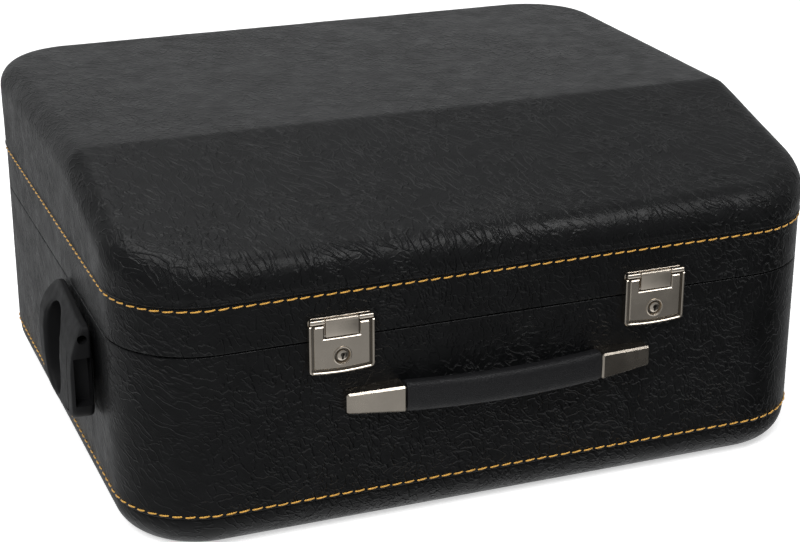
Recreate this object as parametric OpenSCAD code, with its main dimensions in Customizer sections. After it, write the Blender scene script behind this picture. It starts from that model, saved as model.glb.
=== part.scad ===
// Portable wind-up phonograph in a closed carrying case.
// Frame: +Z up, +X to the right, -Y to the front. Origin on the flat base, under the middle
// of the case. Every moving piece is drawn in its stored place, with the lid shut.

/* [Case] */
// Width of the case, left to right
case_w = 460; // [450:1:470]
// Depth of the case, front to back
case_d = 396; // [390:1:402]
// Height of the closed case
case_h = 216; // [214:1:222]
// Radius of the four upright corners
corner_r = 55; // [50:1:60]
// Thickness of the walls
wall = 5; // [4:0.5:5]
// Height where the lid parts from the base
parting_z = 127; // [126:0.5:128]
// Height where the side band meets the bottom tray
tray_top = 22.5; // [20:0.5:24]
// Height where the side band meets the lid cap
cap_bottom = 157.5; // [156:0.5:160]
// Distance from the middle to the ridge, where the lid starts to slope
ridge_y = 61; // [55:1:66]
// Height of the lid's front edge, before it is rounded
front_edge_z = 179; // [176:1:182]
// Radius of the rounded edges of the lid cap
cap_edge_r = 15; // [12:1:18]
// Radius of the rounded bottom edge
tray_edge_r = 20; // [16:1:22]

/* [Front fittings] */
// Distance of each latch from the middle
latch_x = 102.5; // [95:0.5:110]
// Width of a latch
latch_w = 40.5; // [38:0.5:44]
// Length of the carrying handle with its end caps
handle_l = 202; // [190:1:205]
// Height of the middle of the carrying handle
handle_z = 87.5; // [85:0.5:90]

/* [Winding handle] */
// Height of the winding shaft
wind_z = 92; // [90:0.5:94]
// Distance in front of the middle of the winding shaft
wind_y = 97; // [95:1:99]
// How far the winding handle stands out
wind_t = 14; // [12:1:16]

/* [Motor and deck] */
// Radius of the turntable
platter_r = 125; // [122:1:127]
// Height of the top face of the motor board
deck_z = 118; // [116:1:118]
// Length of the tonearm from its pivot to the needle
arm_l = 250; // [246:1:252]
// Height of the tonearm's axis
arm_z = 164; // [163:1:165]
/* [Hidden] */
$fn = 48;

eps = 0.01;
fit = 0.05;                 // radial clearance of a shaft in its bore
half_w = case_w / 2;
half_d = case_d / 2;
gear_m = 1;                 // tooth size of the flat gears, as pitch diameter over teeth
crown_m = 1.2;              // and of the crown wheel with its pinion

// Case walls
cap_proud = 1;              // the cap stands this far outside the side band
tray_shy = 0.7;             // the tray lies this far inside the side band
rim_t = 3;
lid_rim_t = 2.4;
rim_low = 112;
rim_high = parting_z + 4;
upstand = 11;               // height of the hidden flange that the stitching goes through
lining_t = 1;
hinge_axis_y = half_d + 4;
foot_plane_y = half_d + 9;      // plane that the rear feet stand on
hinge_x = 130;
knuckle_r = 3.5;
hinge_pin_r = 1.5;
hinge_leaf_t = 1.2;

// Latches
latch_low = 106.8;
latch_high = 138.2;
lock_t = 2.4;               // thickness of the raised lock plate
lock_back = 2.6;            // gap behind it, where the hasp's hinge plate hides
key_z = 117.8;
hasp_w = 20.4;
hasp_h = 7.5;
lock_front = -half_d - lock_back - lock_t;
hasp_y = lock_front - 0.1;
hasp_z = latch_high + 2;
hasp_eye_r = 1.6;
key_r = 3.35;

// Carrying handle
cap_l = 35.5;
cap_out = 8;                // how far the cap stands out at its outer end
cap_in = 14;                // and at its inner end
grip_out = 20;              // and the middle of the grip
grip_t = 11;
grip_h = 18.5;

// Winding handle, drawn in the side's own plane: first value along Y, second up
wind_face = -half_w - 2;    // back face of the handle
wind_sq = 3;                // half width of the square on the shaft's end
shaft_r = 4;

// Gear train
barrel_pos = [-85, -wind_y];
spindle_pos = [-45, -12];
barrel_teeth = 90;
second_pinion_teeth = 15;
second_teeth = 70;
spindle_pinion_teeth = 14;
reach_1 = gear_m * (barrel_teeth + second_pinion_teeth) / 2;
reach_2 = gear_m * (second_teeth + spindle_pinion_teeth) / 2;
span = norm(spindle_pos - barrel_pos);
toward = (spindle_pos - barrel_pos) / span;
along = (reach_1 * reach_1 - reach_2 * reach_2 + span * span) / (2 * span);
aside = sqrt(reach_1 * reach_1 - along * along);
second_pos = barrel_pos + toward * along + [-toward[1], toward[0]] * aside;
crown_teeth = 40;
pinion_teeth = 12;
crown_r = 24;
plate_low = 34;
plate_high = 103;
plate_t = 3;
plate_box = [-135, -146, 175, 181];   // left, front, width, depth
pillar_xy = [[-128, -138], [32, -138], [-128, 27], [32, 27]];
governor_y = spindle_pos[1] + 24;
governor_z = 60;
barrel_low = 40;
barrel_r = 41;
barrel_gear_z = 72;
barrel_gear_t = 4;
arbor_r = 4;
crown_z = 79.5;
second_z = 90;

// Deck
deck_t = 8;
platter_low = 124;
platter_high = 132;
seat_r = 3.8;               // radius of the spindle inside the turntable
pin_r = 3.55;               // and of the record pin above it
pin_h = 10;
mat_t = 1.5;
arm_pos = [150, 130];
soundbox_r = 22;
horn_low = 12;
throat_low = 52;
throat_high = 96;
horn_high = deck_z - deck_t - 0.6;
grille_box = [-196, 106, 104, 72];    // left, front, width, depth
needle_pos = [-160, -150];
needle_hinge_y = needle_pos[1] + 27;  // the cup's lid swings aside about this post
brake_pos = [78, -98];
speed_pos = [-10, -165];
rest_y = 15;                // place of the arm rest along the tonearm
stay_l = 190;
stay_pos = [219, 40, 140];
stay_pin_r = 2;
stud_pos = [130, 124];      // place of the stay's stud, along Y and up

// ---------------------------------------------------------------- helpers

// Rounded rectangle about the middle, as one outline with four true arcs
module rounded_rect(w, d, r) {
  union() {
    square([w - 2 * r, d], center = true);
    square([w, d - 2 * r], center = true);
    for (x = [-1, 1], y = [-1, 1])
      translate([x * (w / 2 - r), y * (d / 2 - r)])
        circle(r, $fn = 64);
  }
}

// Upright ring that follows the case's outline, set in from the band by inset
module case_ring(inset, t, z0, z1) {
  translate([0, 0, z0])
    linear_extrude(z1 - z0)
      difference() {
        rounded_rect(case_w - 2 * inset, case_d - 2 * inset, corner_r - inset);
        rounded_rect(case_w - 2 * (inset + t), case_d - 2 * (inset + t), corner_r - inset - t);
      }
}

// Solid slab of the case's outline with one rounded edge below
module tray_solid(inset, z0, z1, edge_r) {
  ring_r = corner_r - inset - edge_r;
  hull() {
    for (x = [-1, 1], y = [-1, 1])
      translate([x * (half_w - corner_r), y * (half_d - corner_r), 0]) {
        translate([0, 0, z0 + edge_r])
          rotate_extrude($fn = 32)
            translate([ring_r, 0])
              intersection() {
                circle(edge_r, $fn = 32);
                translate([0, -edge_r])
                  square(edge_r);
              }
        translate([0, 0, z1 - 1])
          cylinder(r = corner_r - inset, h = 1, $fn = 32);
      }
  }
}

// Solid under the lid cap's outside, set in all round by inset and cut off level at z0
module cap_solid(inset, z0, edge_r) {
  intersection() {
    cap_hull(inset, z0, edge_r);
    box([-half_w - 2, -half_d - 2, z0], [half_w + 2, half_d + 2, case_h + 1]);
  }
}

module cap_hull(inset, z0, edge_r) {
  ring_r = corner_r + cap_proud - inset - edge_r;
  slope = (case_h - front_edge_z) / (half_d - ridge_y);
  drop = inset * sqrt(1 + slope * slope);
  plan_x = half_w - corner_r;
  plan_y = half_d - corner_r;
  hull() {
    for (x = [-1, 1], y = [-1, 1])
      translate([x * plan_x, y * plan_y, z0])
        cylinder(r = corner_r + cap_proud - inset, h = 1, $fn = 32);
    for (x = [-1, 1]) {
      translate([x * plan_x, plan_y, case_h - inset - edge_r])
        rotate_extrude($fn = 32)
          translate([ring_r, 0])
            circle(edge_r, $fn = 32);
      translate([x * (half_w + cap_proud - inset - edge_r), -ridge_y, case_h - inset - edge_r])
        sphere(edge_r, $fn = 32);
      for (a = [0 : 15 : 90]) {
        px = x * (plan_x + ring_r * sin(a));
        py = -plan_y - ring_r * cos(a);
        top = case_h - slope * (-py + inset - ridge_y);
        translate([px, py, top - drop - edge_r * 0.96])
          sphere(edge_r, $fn = 24);
      }
    }
  }
}

// Round post along Z
module post(x, y, z0, z1, r) {
  translate([x, y, z0])
    cylinder(r = r, h = z1 - z0);
}

// Round bar along X
module bar_x(x0, x1, y, z, r) {
  translate([x0, y, z])
    rotate([0, 90, 0])
      cylinder(r = r, h = x1 - x0);
}

// Round bar along Y
module bar_y(x, y0, y1, z, r) {
  translate([x, y0, z])
    rotate([-90, 0, 0])
      cylinder(r = r, h = y1 - y0);
}

// Box from its lowest to its highest corner
module box(low, high) {
  translate(low)
    cube(high - low);
}

// Spur gear outline with tapered teeth; tooth 0 is centred on +X
module gear_outline(teeth, m) {
  pitch_r = teeth * m / 2;
  step = 360 / teeth;
  points = [for (i = [0 : teeth - 1]) for (k = [
      [-0.30, -1.1], [-0.11, 0.8], [0.11, 0.8], [0.30, -1.1]])
    (pitch_r + k[1] * m) * [cos((i + k[0]) * step), sin((i + k[0]) * step)]];
  polygon(points);
}

// Spur gear standing on z0; turn sets the direction of its first tooth
module gear(teeth, x, y, z0, t, turn) {
  translate([x, y, z0])
    rotate([0, 0, turn])
      linear_extrude(t)
        gear_outline(teeth, gear_m);
}

function heading(from, to) = atan2(to[1] - from[1], to[0] - from[0]);

// ---------------------------------------------------------------- case

module base_tray() {
  color([0.09, 0.09, 0.1])
    union() {
      difference() {
        tray_solid(tray_shy, 0, tray_top, tray_edge_r);
        tray_solid(wall + 1, wall, tray_top + 2, tray_edge_r - wall);
      }
      case_ring(wall + 0.2, 2.6, tray_top - 4, tray_top + upstand);
      case_ring(wall - 2, 5, tray_top - 4, tray_top);
    }
}

module lower_band() {
  color([0.1, 0.1, 0.11])
    difference() {
      case_ring(0, wall, tray_top, parting_z - 0.2);
      bar_x(-half_w - 1, -half_w + wall + 1, -wind_y, wind_z, 9 + eps);
    }
}

module base_rim() {
  color([0.75, 0.76, 0.78])
    case_ring(wall + 0.3, rim_t, rim_low, rim_high);
}

module base_lining() {
  color([0.35, 0.08, 0.1])
    box([-half_w + 45, -half_d + 45, wall + 0.1], [half_w - 45, 60, wall + 1.1]);
}

module lid_cap() {
  color([0.12, 0.12, 0.13])
    union() {
      difference() {
        cap_solid(0, cap_bottom, cap_edge_r);
        cap_solid(wall, cap_bottom - 2, cap_edge_r - wall + 1);
      }
      case_ring(wall + 0.2, 2.6, cap_bottom - upstand, cap_bottom + 5);
      case_ring(wall - 3, 5, cap_bottom, cap_bottom + 5);
    }
}

module upper_band() {
  color([0.1, 0.1, 0.11])
    case_ring(0, wall, parting_z + 0.2, cap_bottom);
}

module lid_rim() {
  color([0.75, 0.76, 0.78])
    case_ring(wall + 0.3, lid_rim_t, rim_high + 1.5, cap_bottom - upstand - 0.3);
}

module lid_lining() {
  color([0.35, 0.08, 0.1])
    difference() {
      cap_solid(wall + 0.4, cap_bottom + 5.3, cap_edge_r - wall + 0.6);
      cap_solid(wall + 0.4 + lining_t, cap_bottom + 4, cap_edge_r - wall - 0.4);
    }
}

module base_hinge_leaves() {
  color([0.8, 0.8, 0.8])
    hinge_leaf_set(-1, [-22, -4.4, 13.2]);
}

module lid_hinge_leaves() {
  color([0.8, 0.8, 0.8])
    hinge_leaf_set(1, [-13.2, 4.4]);
}

// Two leaves of one side: side is -1 below the parting line and 1 above it
module hinge_leaf_set(side, knuckles) {
  near = parting_z + side * 4.4;
  far = parting_z + side * 26;
  for (x = [-hinge_x, hinge_x])
    difference() {
      union() {
        box([x - 22, half_d, min(near, far)], [x + 22, half_d + hinge_leaf_t, max(near, far)]);
        for (k = knuckles) {
          bar_x(x + k, x + k + 8.4, hinge_axis_y, parting_z, knuckle_r);
          box([x + k, half_d, min(parting_z + side * 0.2, near + side)],
              [x + k + 8.4, half_d + hinge_leaf_t + 0.6, max(parting_z + side * 0.2, near + side)]);
        }
      }
      bar_x(x - 30, x + 30, hinge_axis_y, parting_z, hinge_pin_r + fit);
    }
}

module hinge_pins() {
  color([0.7, 0.7, 0.72])
    for (x = [-hinge_x, hinge_x]) {
      bar_x(x - 22.5, x + 22.1, hinge_axis_y, parting_z, hinge_pin_r);
      bar_x(x - 24, x - 22.4, hinge_axis_y, parting_z, 2.6);
    }
}

// Stepped foot from the wall at y0 to the common resting plane
module rear_foot(x, y0, z) {
  bar_y(x, y0, foot_plane_y - 3, z, 9);
  bar_y(x, foot_plane_y - 3, foot_plane_y, z, 6.5);
}

module base_rear_feet() {
  color([0.8, 0.8, 0.8])
    for (x = [-165, 165])
      rear_foot(x, half_d, 50);
}

module lid_rear_feet() {
  color([0.8, 0.8, 0.8])
    for (x = [-165, 165])
      rear_foot(x, half_d + cap_proud, 180);
}

module stay_bracket() {
  color([0.75, 0.72, 0.6])
    union() {
      box([stay_pos[0] + 1.2, stay_pos[1] - 8, stay_pos[2] - 6],
          [half_w - wall - 0.3 - lid_rim_t, stay_pos[1] + 8, stay_pos[2] + 5.6]);
      bar_x(stay_pos[0] - 2.4, stay_pos[0] + 2, stay_pos[1], stay_pos[2], stay_pin_r);
      bar_x(stay_pos[0] - 3.4, stay_pos[0] - 2.4, stay_pos[1], stay_pos[2], 3.6);
    }
}

module lid_stay() {
  color([0.75, 0.72, 0.6])
    difference() {
      union() {
        box([stay_pos[0] - 1.8, stay_pos[1] - stay_l + 4, stay_pos[2] - 4.5],
            [stay_pos[0] + 0.6, stay_pos[1], stay_pos[2] + 4.5]);
        bar_x(stay_pos[0] - 1.8, stay_pos[0] + 0.6, stay_pos[1], stay_pos[2], 4.5);
        bar_x(stay_pos[0] - 1.8, stay_pos[0] + 0.6, stay_pos[1] - stay_l + 4, stay_pos[2], 4.5);
      }
      bar_x(stay_pos[0] - 5, stay_pos[0] + 5, stay_pos[1], stay_pos[2], stay_pin_r + fit);
      bar_x(stay_pos[0] - 5, stay_pos[0] + 5, stay_pos[1] - stay_l, stay_pos[2], 3.2);
    }
}

module stay_stud() {
  color([0.75, 0.72, 0.6])
    union() {
      bar_x(stay_pos[0] - 4, half_w - wall - 0.3 - rim_t, stud_pos[0], stud_pos[1], 2.2);
      bar_x(stay_pos[0] - 5.5, stay_pos[0] - 4, stud_pos[0], stud_pos[1], 3.6);
    }
}

// ---------------------------------------------------------------- front fittings

// Raised lock plate on the lower band; it stands in front of the lid's hinge plate
module lock_plate(x) {
  translate([x, 0, 0])
    difference() {
      union() {
        difference() {
          translate([0, lock_front + lock_t, 0])
            rotate([90, 0, 0])
              linear_extrude(lock_t)
                lock_outline(0);
          translate([0, lock_front + 0.8, 0])
            rotate([90, 0, 0])
              linear_extrude(2)
                lock_outline(3.2);
        }
        box([-latch_w / 2 + 1.2, lock_front + 1, latch_low + 1.5],
            [latch_w / 2 - 1.2, -half_d, parting_z - 1]);
        bar_y(0, lock_front - 0.4, lock_front + 1, key_z, 6);
      }
      box([-hasp_w / 2 - 0.5, lock_front - 2, latch_high - hasp_h - 0.6],
          [hasp_w / 2 + 0.5, lock_front + 1.6, latch_high + 1]);
      bar_y(0, lock_front - 2, -half_d - 0.4, key_z, key_r + fit);
    }
}

// Outline of the lock plate seen from the front, set in by inset
module lock_outline(inset) {
  w = latch_w - 2 * inset;
  intersection() {
    translate([0, latch_low + 220])
      circle(220 - inset, $fn = 256);
    union() {
      translate([-w / 2, latch_low + inset + 4])
        square([w, latch_high - latch_low - 2 * inset - 4]);
      translate([-w / 2 + 4, latch_low])
        square([w - 8, 12]);
      for (s = [-1, 1])
        translate([s * (w / 2 - 4), latch_low + inset + 4])
          circle(4);
    }
  }
}

module left_lock_plate() {
  color([0.78, 0.77, 0.74]) lock_plate(-latch_x);
}

module right_lock_plate() {
  color([0.78, 0.77, 0.74]) lock_plate(latch_x);
}

// Tab that folds over the top of the lock plate, with its rolled eye
module hasp(x) {
  translate([x, 0, 0])
    difference() {
      union() {
        box([-hasp_w / 2, hasp_y, latch_high - hasp_h],
            [hasp_w / 2, hasp_y + 0.8, hasp_z]);
        bar_x(-hasp_w / 2, hasp_w / 2, hasp_y + hasp_eye_r, hasp_z, hasp_eye_r);
      }
      bar_x(-hasp_w, hasp_w, hasp_y + hasp_eye_r, hasp_z, 0.85);
    }
}

module left_hasp() {
  color([0.8, 0.79, 0.76]) hasp(-latch_x);
}

module right_hasp() {
  color([0.8, 0.79, 0.76]) hasp(latch_x);
}

// Hinge plates on the lid's band, each with two rolled ends and the hasp's pin
module hasp_hinge_plates() {
  color([0.75, 0.74, 0.72])
    for (x = [-latch_x, latch_x])
      translate([x, 0, 0]) {
        box([-latch_w / 2 + 0.6, -half_d - 1.4, parting_z + 1.2],
            [latch_w / 2 - 0.6, -half_d, hasp_z + 1.8]);
        for (s = [-1, 1]) {
          mid = s * (hasp_w / 2 + 4.9);
          bar_x(mid - 4.5, mid + 4.5, hasp_y + hasp_eye_r, hasp_z, hasp_eye_r);
          box([mid - 4.5, hasp_y + hasp_eye_r, hasp_z], [mid + 4.5, -half_d - 1, hasp_z + hasp_eye_r]);
        }
        bar_x(-hasp_w / 2 - 2, hasp_w / 2 + 2, hasp_y + hasp_eye_r, hasp_z, 0.8);
      }
}

// Key cylinder with its keyhole
module key_cylinder(x) {
  translate([x, 0, 0])
    difference() {
      bar_y(0, lock_front - 0.2, -half_d - 0.5, key_z, key_r);
      box([-0.6, lock_front - 1, key_z - 2.6], [0.6, lock_front + 2.2, key_z + 0.6]);
      bar_y(0, lock_front - 1, lock_front + 2.2, key_z + 0.6, 1.3);
    }
}

module left_key_cylinder() {
  color([0.7, 0.68, 0.62]) key_cylinder(-latch_x);
}

module right_key_cylinder() {
  color([0.7, 0.68, 0.62]) key_cylinder(latch_x);
}

// Side view of a cap: it is taller and prouder towards the grip
module handle_cap(s, shrink) {
  x_out = handle_l / 2 - shrink;
  x_in = handle_l / 2 - cap_l - (shrink > 0 ? 1 : 0);
  intersection() {
    translate([0, 0, handle_z - 20])
      linear_extrude(40)
        polygon([for (p = [[x_out, 1], [x_out, -cap_out + shrink],
            [x_in, -cap_in + shrink], [x_in, 1]]) [s * p[0], -half_d + p[1]]]);
    translate([0, -half_d, 0])
      rotate([90, 0, 0])
        linear_extrude(cap_in + 1)
          polygon([for (p = [[x_out, -7], [x_out, 7], [x_in, 8.7], [x_in, -8.7]])
            [s * p[0], handle_z + p[1] - sign(p[1]) * shrink]]);
  }
}

module handle_caps() {
  color([0.78, 0.78, 0.78])
    for (s = [-1, 1])
      difference() {
        handle_cap(s, 0);
        handle_cap(s, 1.4);
      }
}

// Flexible grip: a bowed strip, round in front, with a flat tongue in each cap
module handle_grip() {
  x_end = handle_l / 2 - cap_l - 0.6;
  rise = grip_out - cap_in;
  bow_r = (x_end * x_end + rise * rise) / (2 * rise);
  color([0.06, 0.06, 0.06])
    union() {
      intersection() {
        difference() {
          post(0, bow_r - half_d - grip_out, handle_z - grip_h / 2, handle_z + grip_h / 2,
               bow_r, $fn = 360);
          post(0, bow_r - half_d - grip_out, handle_z - grip_h, handle_z + grip_h,
               bow_r - grip_t, $fn = 360);
        }
        box([-x_end, -half_d - grip_out - 1, handle_z - grip_h / 2],
            [x_end, -half_d - 0.2, handle_z + grip_h / 2]);
      }
      for (s = [-1, 1])
        box([s > 0 ? x_end - 2 : -x_end - 8, -half_d - 5.4, handle_z - 5.5],
            [s > 0 ? x_end + 8 : -x_end + 2, -half_d - 2.4, handle_z + 5.5]);
    }
}

// ---------------------------------------------------------------- winding handle

// Outline of the winding handle on the side of the case: Y across, Z up
module wind_outline() {
  union() {
    translate([-49, 82.5])
      circle(28.5, $fn = 96);
    translate([-52, 98])
      circle(29.5, $fn = 96);
    polygon([[-118, 66], [-113, 62], [-104, 60], [-84, 56.4], [-54, 54.4], [-30, 85], [-40, 122],
      [-58, 127], [-80, 124.5], [-100, 122], [-113, 121.3], [-118, 116]]);
  }
}

// The finger opening behind the hub
module wind_opening() {
  hull() {
    translate([-60.5, 81])
      circle(23, $fn = 96);
    translate([-60.5, 94])
      circle(23, $fn = 96);
  }
}

module winding_handle() {
  outer = wind_face - wind_t;
  color([0.13, 0.13, 0.13])
    difference() {
      intersection() {
        translate([outer, 0, 0])
          rotate([90, 0, 90])
            linear_extrude(wind_t)
              wind_outline();
        translate([0, 10, 0])
          rotate([90, 0, 0])
            linear_extrude(160)
              polygon([[wind_face, 30], [outer + 2.5, 30], [outer, 48], [outer, 92],
                [outer + 1.2, 103], [outer + 4.5, 113.5], [outer + 9, 121.5], [wind_face, 127.5]]);
      }
      translate([outer - 1, 0, 0])
        rotate([90, 0, 90])
          linear_extrude(wind_t + 2)
            wind_opening();
      bar_y(wind_face - 5.6, -125, -106, 114.5, 2.9);
      box([wind_face - 11.5, -125, 70], [wind_face - 0.9, -107, 103]);
      box([outer + 6, -wind_y - wind_sq, wind_z - wind_sq],
          [wind_face + 1, -wind_y + wind_sq, wind_z + wind_sq]);
      box([outer - 1, -106.5, 66], [outer + 0.8, -105.5, 104]);
    }
}

module winding_shaft() {
  color([0.7, 0.7, 0.72])
    union() {
      bar_x(wind_face + 0.4, barrel_pos[0] - 18, -wind_y, wind_z, shaft_r);
      box([wind_face - wind_t + 6.2, -wind_y - wind_sq + fit, wind_z - wind_sq + fit],
          [wind_face + 0.5, -wind_y + wind_sq - fit, wind_z + wind_sq - fit]);
    }
}

module winding_pinion() {
  color([0.8, 0.68, 0.35])
    difference() {
      translate([barrel_pos[0] - crown_r - 4, -wind_y, wind_z])
        rotate([0, 90, 0])
          rotate([0, 0, 180 / pinion_teeth])
            linear_extrude(8)
              gear_outline(pinion_teeth, crown_m);
      bar_x(-150, -50, -wind_y, wind_z, shaft_r);
    }
}

module shaft_bush() {
  color([0.8, 0.68, 0.35])
    difference() {
      union() {
        bar_x(-half_w, -half_w + 18, -wind_y, wind_z, 9);
        bar_x(-half_w - 1.4, -half_w, -wind_y, wind_z, 13);
      }
      bar_x(-half_w - 5, -half_w + 20, -wind_y, wind_z, shaft_r + fit);
    }
}

module shaft_bearing() {
  color([0.6, 0.62, 0.64])
    difference() {
      box([-131, -wind_y - 9, wind_z - 9], [-122, -wind_y + 9, plate_high]);
      bar_x(-140, -110, -wind_y, wind_z, shaft_r + fit);
    }
}

// ---------------------------------------------------------------- motor

module motor_plate(z0) {
  difference() {
    box([plate_box[0], plate_box[1], z0],
        [plate_box[0] + plate_box[2], plate_box[1] + plate_box[3], z0 + plate_t]);
    for (p = pillar_xy)
      post(p[0], p[1], z0 - 1, z0 + plate_t + 1, 3);
    post(barrel_pos[0], barrel_pos[1], z0 - 1, z0 + plate_t + 1, arbor_r + fit);
    post(second_pos[0], second_pos[1], z0 - 1, z0 + plate_t + 1, 2.5 + fit);
    post(spindle_pos[0], spindle_pos[1], z0 - 1, z0 + plate_t + 1, arbor_r + fit);
  }
}

module motor_top_plate() {
  color([0.62, 0.64, 0.66]) motor_plate(plate_high);
}

module motor_bottom_plate() {
  color([0.62, 0.64, 0.66]) motor_plate(plate_low);
}

module motor_pillars() {
  color([0.7, 0.7, 0.72])
    for (p = pillar_xy)
      difference() {
        union() {
          post(p[0], p[1], plate_low + plate_t, plate_high, 5.5);
          post(p[0], p[1], plate_low - 2, plate_low + plate_t + 1, 3);
          post(p[0], p[1], plate_low - 5, plate_low, 5.5, $fn = 6);
        }
        post(p[0], p[1], plate_high - 18, plate_high + 1, 2.5);
      }
}

module motor_grommets() {
  color([0.2, 0.2, 0.2])
    for (p = pillar_xy)
      difference() {
        post(p[0], p[1], plate_high + plate_t, deck_z - deck_t, 9);
        post(p[0], p[1], plate_high, deck_z, 3);
      }
}

module motor_screws() {
  color([0.8, 0.8, 0.8])
    for (p = pillar_xy)
      difference() {
        union() {
          post(p[0], p[1], plate_high - 16, deck_z + 1, 2.5);
          post(p[0], p[1], deck_z, deck_z + 2, 6);
        }
        box([p[0] - 7, p[1] - 0.6, deck_z + 1], [p[0] + 7, p[1] + 0.6, deck_z + 3]);
      }
}

module spring_barrel() {
  color([0.65, 0.62, 0.55])
    difference() {
      union() {
        post(barrel_pos[0], barrel_pos[1], barrel_low, barrel_gear_z, barrel_r);
        gear(barrel_teeth, barrel_pos[0], barrel_pos[1], barrel_gear_z, barrel_gear_t,
             heading(barrel_pos, second_pos));
      }
      post(barrel_pos[0], barrel_pos[1], barrel_low + 2, barrel_gear_z + 10, barrel_r - 3);
      post(barrel_pos[0], barrel_pos[1], barrel_low - 1, barrel_gear_z, arbor_r + fit);
    }
}

module barrel_cover() {
  color([0.75, 0.66, 0.4])
    difference() {
      post(barrel_pos[0], barrel_pos[1], barrel_gear_z + 1, barrel_gear_z + 3, barrel_r - 3);
      post(barrel_pos[0], barrel_pos[1], barrel_gear_z, barrel_gear_z + 4, arbor_r + fit);
    }
}

// Flat spiral ribbon between the arbor and the barrel's wall
module mainspring() {
  turns = 6;
  inner = 7.2;
  outer = 36.6;
  half_t = 0.8;
  steps = 24 * turns;
  function ribbon(i, side) = let (a = 360 * turns * i / steps,
    r = inner + (outer - inner) * i / steps + side * half_t) [r * cos(a), r * sin(a)];
  color([0.4, 0.42, 0.46])
    translate([barrel_pos[0], barrel_pos[1], barrel_low + 3])
      linear_extrude(barrel_gear_z - barrel_low - 4)
        polygon(concat([for (i = [0 : steps]) ribbon(i, 1)],
                       [for (i = [steps : -1 : 0]) ribbon(i, -1)]));
}

module barrel_arbor() {
  color([0.7, 0.7, 0.72])
    union() {
      post(barrel_pos[0], barrel_pos[1], plate_low - 1, plate_high + plate_t + 1, arbor_r);
      post(barrel_pos[0], barrel_pos[1], barrel_low + 3, barrel_gear_z - 1, 6);
    }
}

// Crown wheel: a disc with upright teeth round its rim, under the winding pinion
module crown_wheel() {
  color([0.8, 0.68, 0.35])
    translate([barrel_pos[0], barrel_pos[1], 0])
      difference() {
        union() {
          post(0, 0, crown_z, crown_z + 3.5, crown_r + 3);
          post(0, 0, crown_z, crown_z + 8, 8);
          for (i = [0 : crown_teeth - 1])
            rotate([0, 0, i * 360 / crown_teeth])
              box([-crown_r - 3, -0.6, crown_z + 3], [-crown_r + 3, 0.6, crown_z + 5.8]);
        }
        post(0, 0, crown_z - 1, crown_z + 10, arbor_r);
      }
}

module second_wheel() {
  color([0.8, 0.68, 0.35])
    union() {
      post(second_pos[0], second_pos[1], plate_low - 1, plate_high + plate_t + 1, 2.5);
      gear(second_pinion_teeth, second_pos[0], second_pos[1], barrel_gear_z - 3,
           barrel_gear_t + 5, heading(second_pos, barrel_pos) + 180 / second_pinion_teeth);
      gear(second_teeth, second_pos[0], second_pos[1], second_z, 3,
           heading(second_pos, spindle_pos));
      post(second_pos[0], second_pos[1], barrel_gear_z + 5, second_z + 1, 5);
    }
}

module spindle() {
  color([0.75, 0.75, 0.77])
    union() {
      post(spindle_pos[0], spindle_pos[1], plate_low - 1, platter_low + 4, arbor_r);
      post(spindle_pos[0], spindle_pos[1], platter_low + 3, platter_high + mat_t, seat_r);
      post(spindle_pos[0], spindle_pos[1], platter_high, platter_high + mat_t + pin_h, pin_r);
      gear(spindle_pinion_teeth, spindle_pos[0], spindle_pos[1], second_z - 3, 9,
           heading(spindle_pos, second_pos) + 180 / spindle_pinion_teeth);
    }
}

module worm_wheel() {
  color([0.35, 0.22, 0.12])
    difference() {
      union() {
        gear(38, spindle_pos[0], spindle_pos[1], governor_z - 1.5, 3, 0);
        post(spindle_pos[0], spindle_pos[1], governor_z - 5, governor_z + 5, 8);
      }
      post(spindle_pos[0], spindle_pos[1], governor_z - 9, governor_z + 9, arbor_r);
    }
}

// Two-start worm, end journals and friction disc on the governor's shaft
module governor_shaft() {
  color([0.7, 0.7, 0.72])
    translate([0, governor_y, governor_z]) {
      bar_x(spindle_pos[0] - 20, 36, 0, 0, 1.5);
      translate([spindle_pos[0] - 11, 0, 0])
        rotate([0, 90, 0])
          linear_extrude(22, twist = -360 * 3.5, slices = 28)
            translate([0.8, 0])
              circle(2.8, $fn = 8);
      bar_x(24, 26, 0, 0, 15);
      bar_x(16, 24, 0, 0, 3.4);
      bar_x(-24, -18, 0, 0, 4.4);
    }
}

// Three fly weights on their leaf springs
module governor_weights() {
  color([0.75, 0.66, 0.4])
    translate([0, governor_y, governor_z])
      for (a = [0, 120, 240])
        rotate([a, 0, 0]) {
          bar_x(-6, 4, 0, 11, 4.6);
          box([-23, -1.5, 4.6], [-17.5, 1.5, 5.2]);
          box([-18, -1.5, 4.6], [-2, 1.5, 7]);
          box([0, -1.5, 3.6], [23, 1.5, 7]);
        }
}

module governor_brackets() {
  color([0.62, 0.64, 0.66])
    for (x = [spindle_pos[0] - 19, 30])
      difference() {
        box([x, governor_y - 6, plate_low + plate_t], [x + 5, governor_y + 6, governor_z + 6]);
        bar_x(x - 1, x + 6, governor_y, governor_z, 1.5 + fit);
      }
}

// ---------------------------------------------------------------- deck

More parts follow.
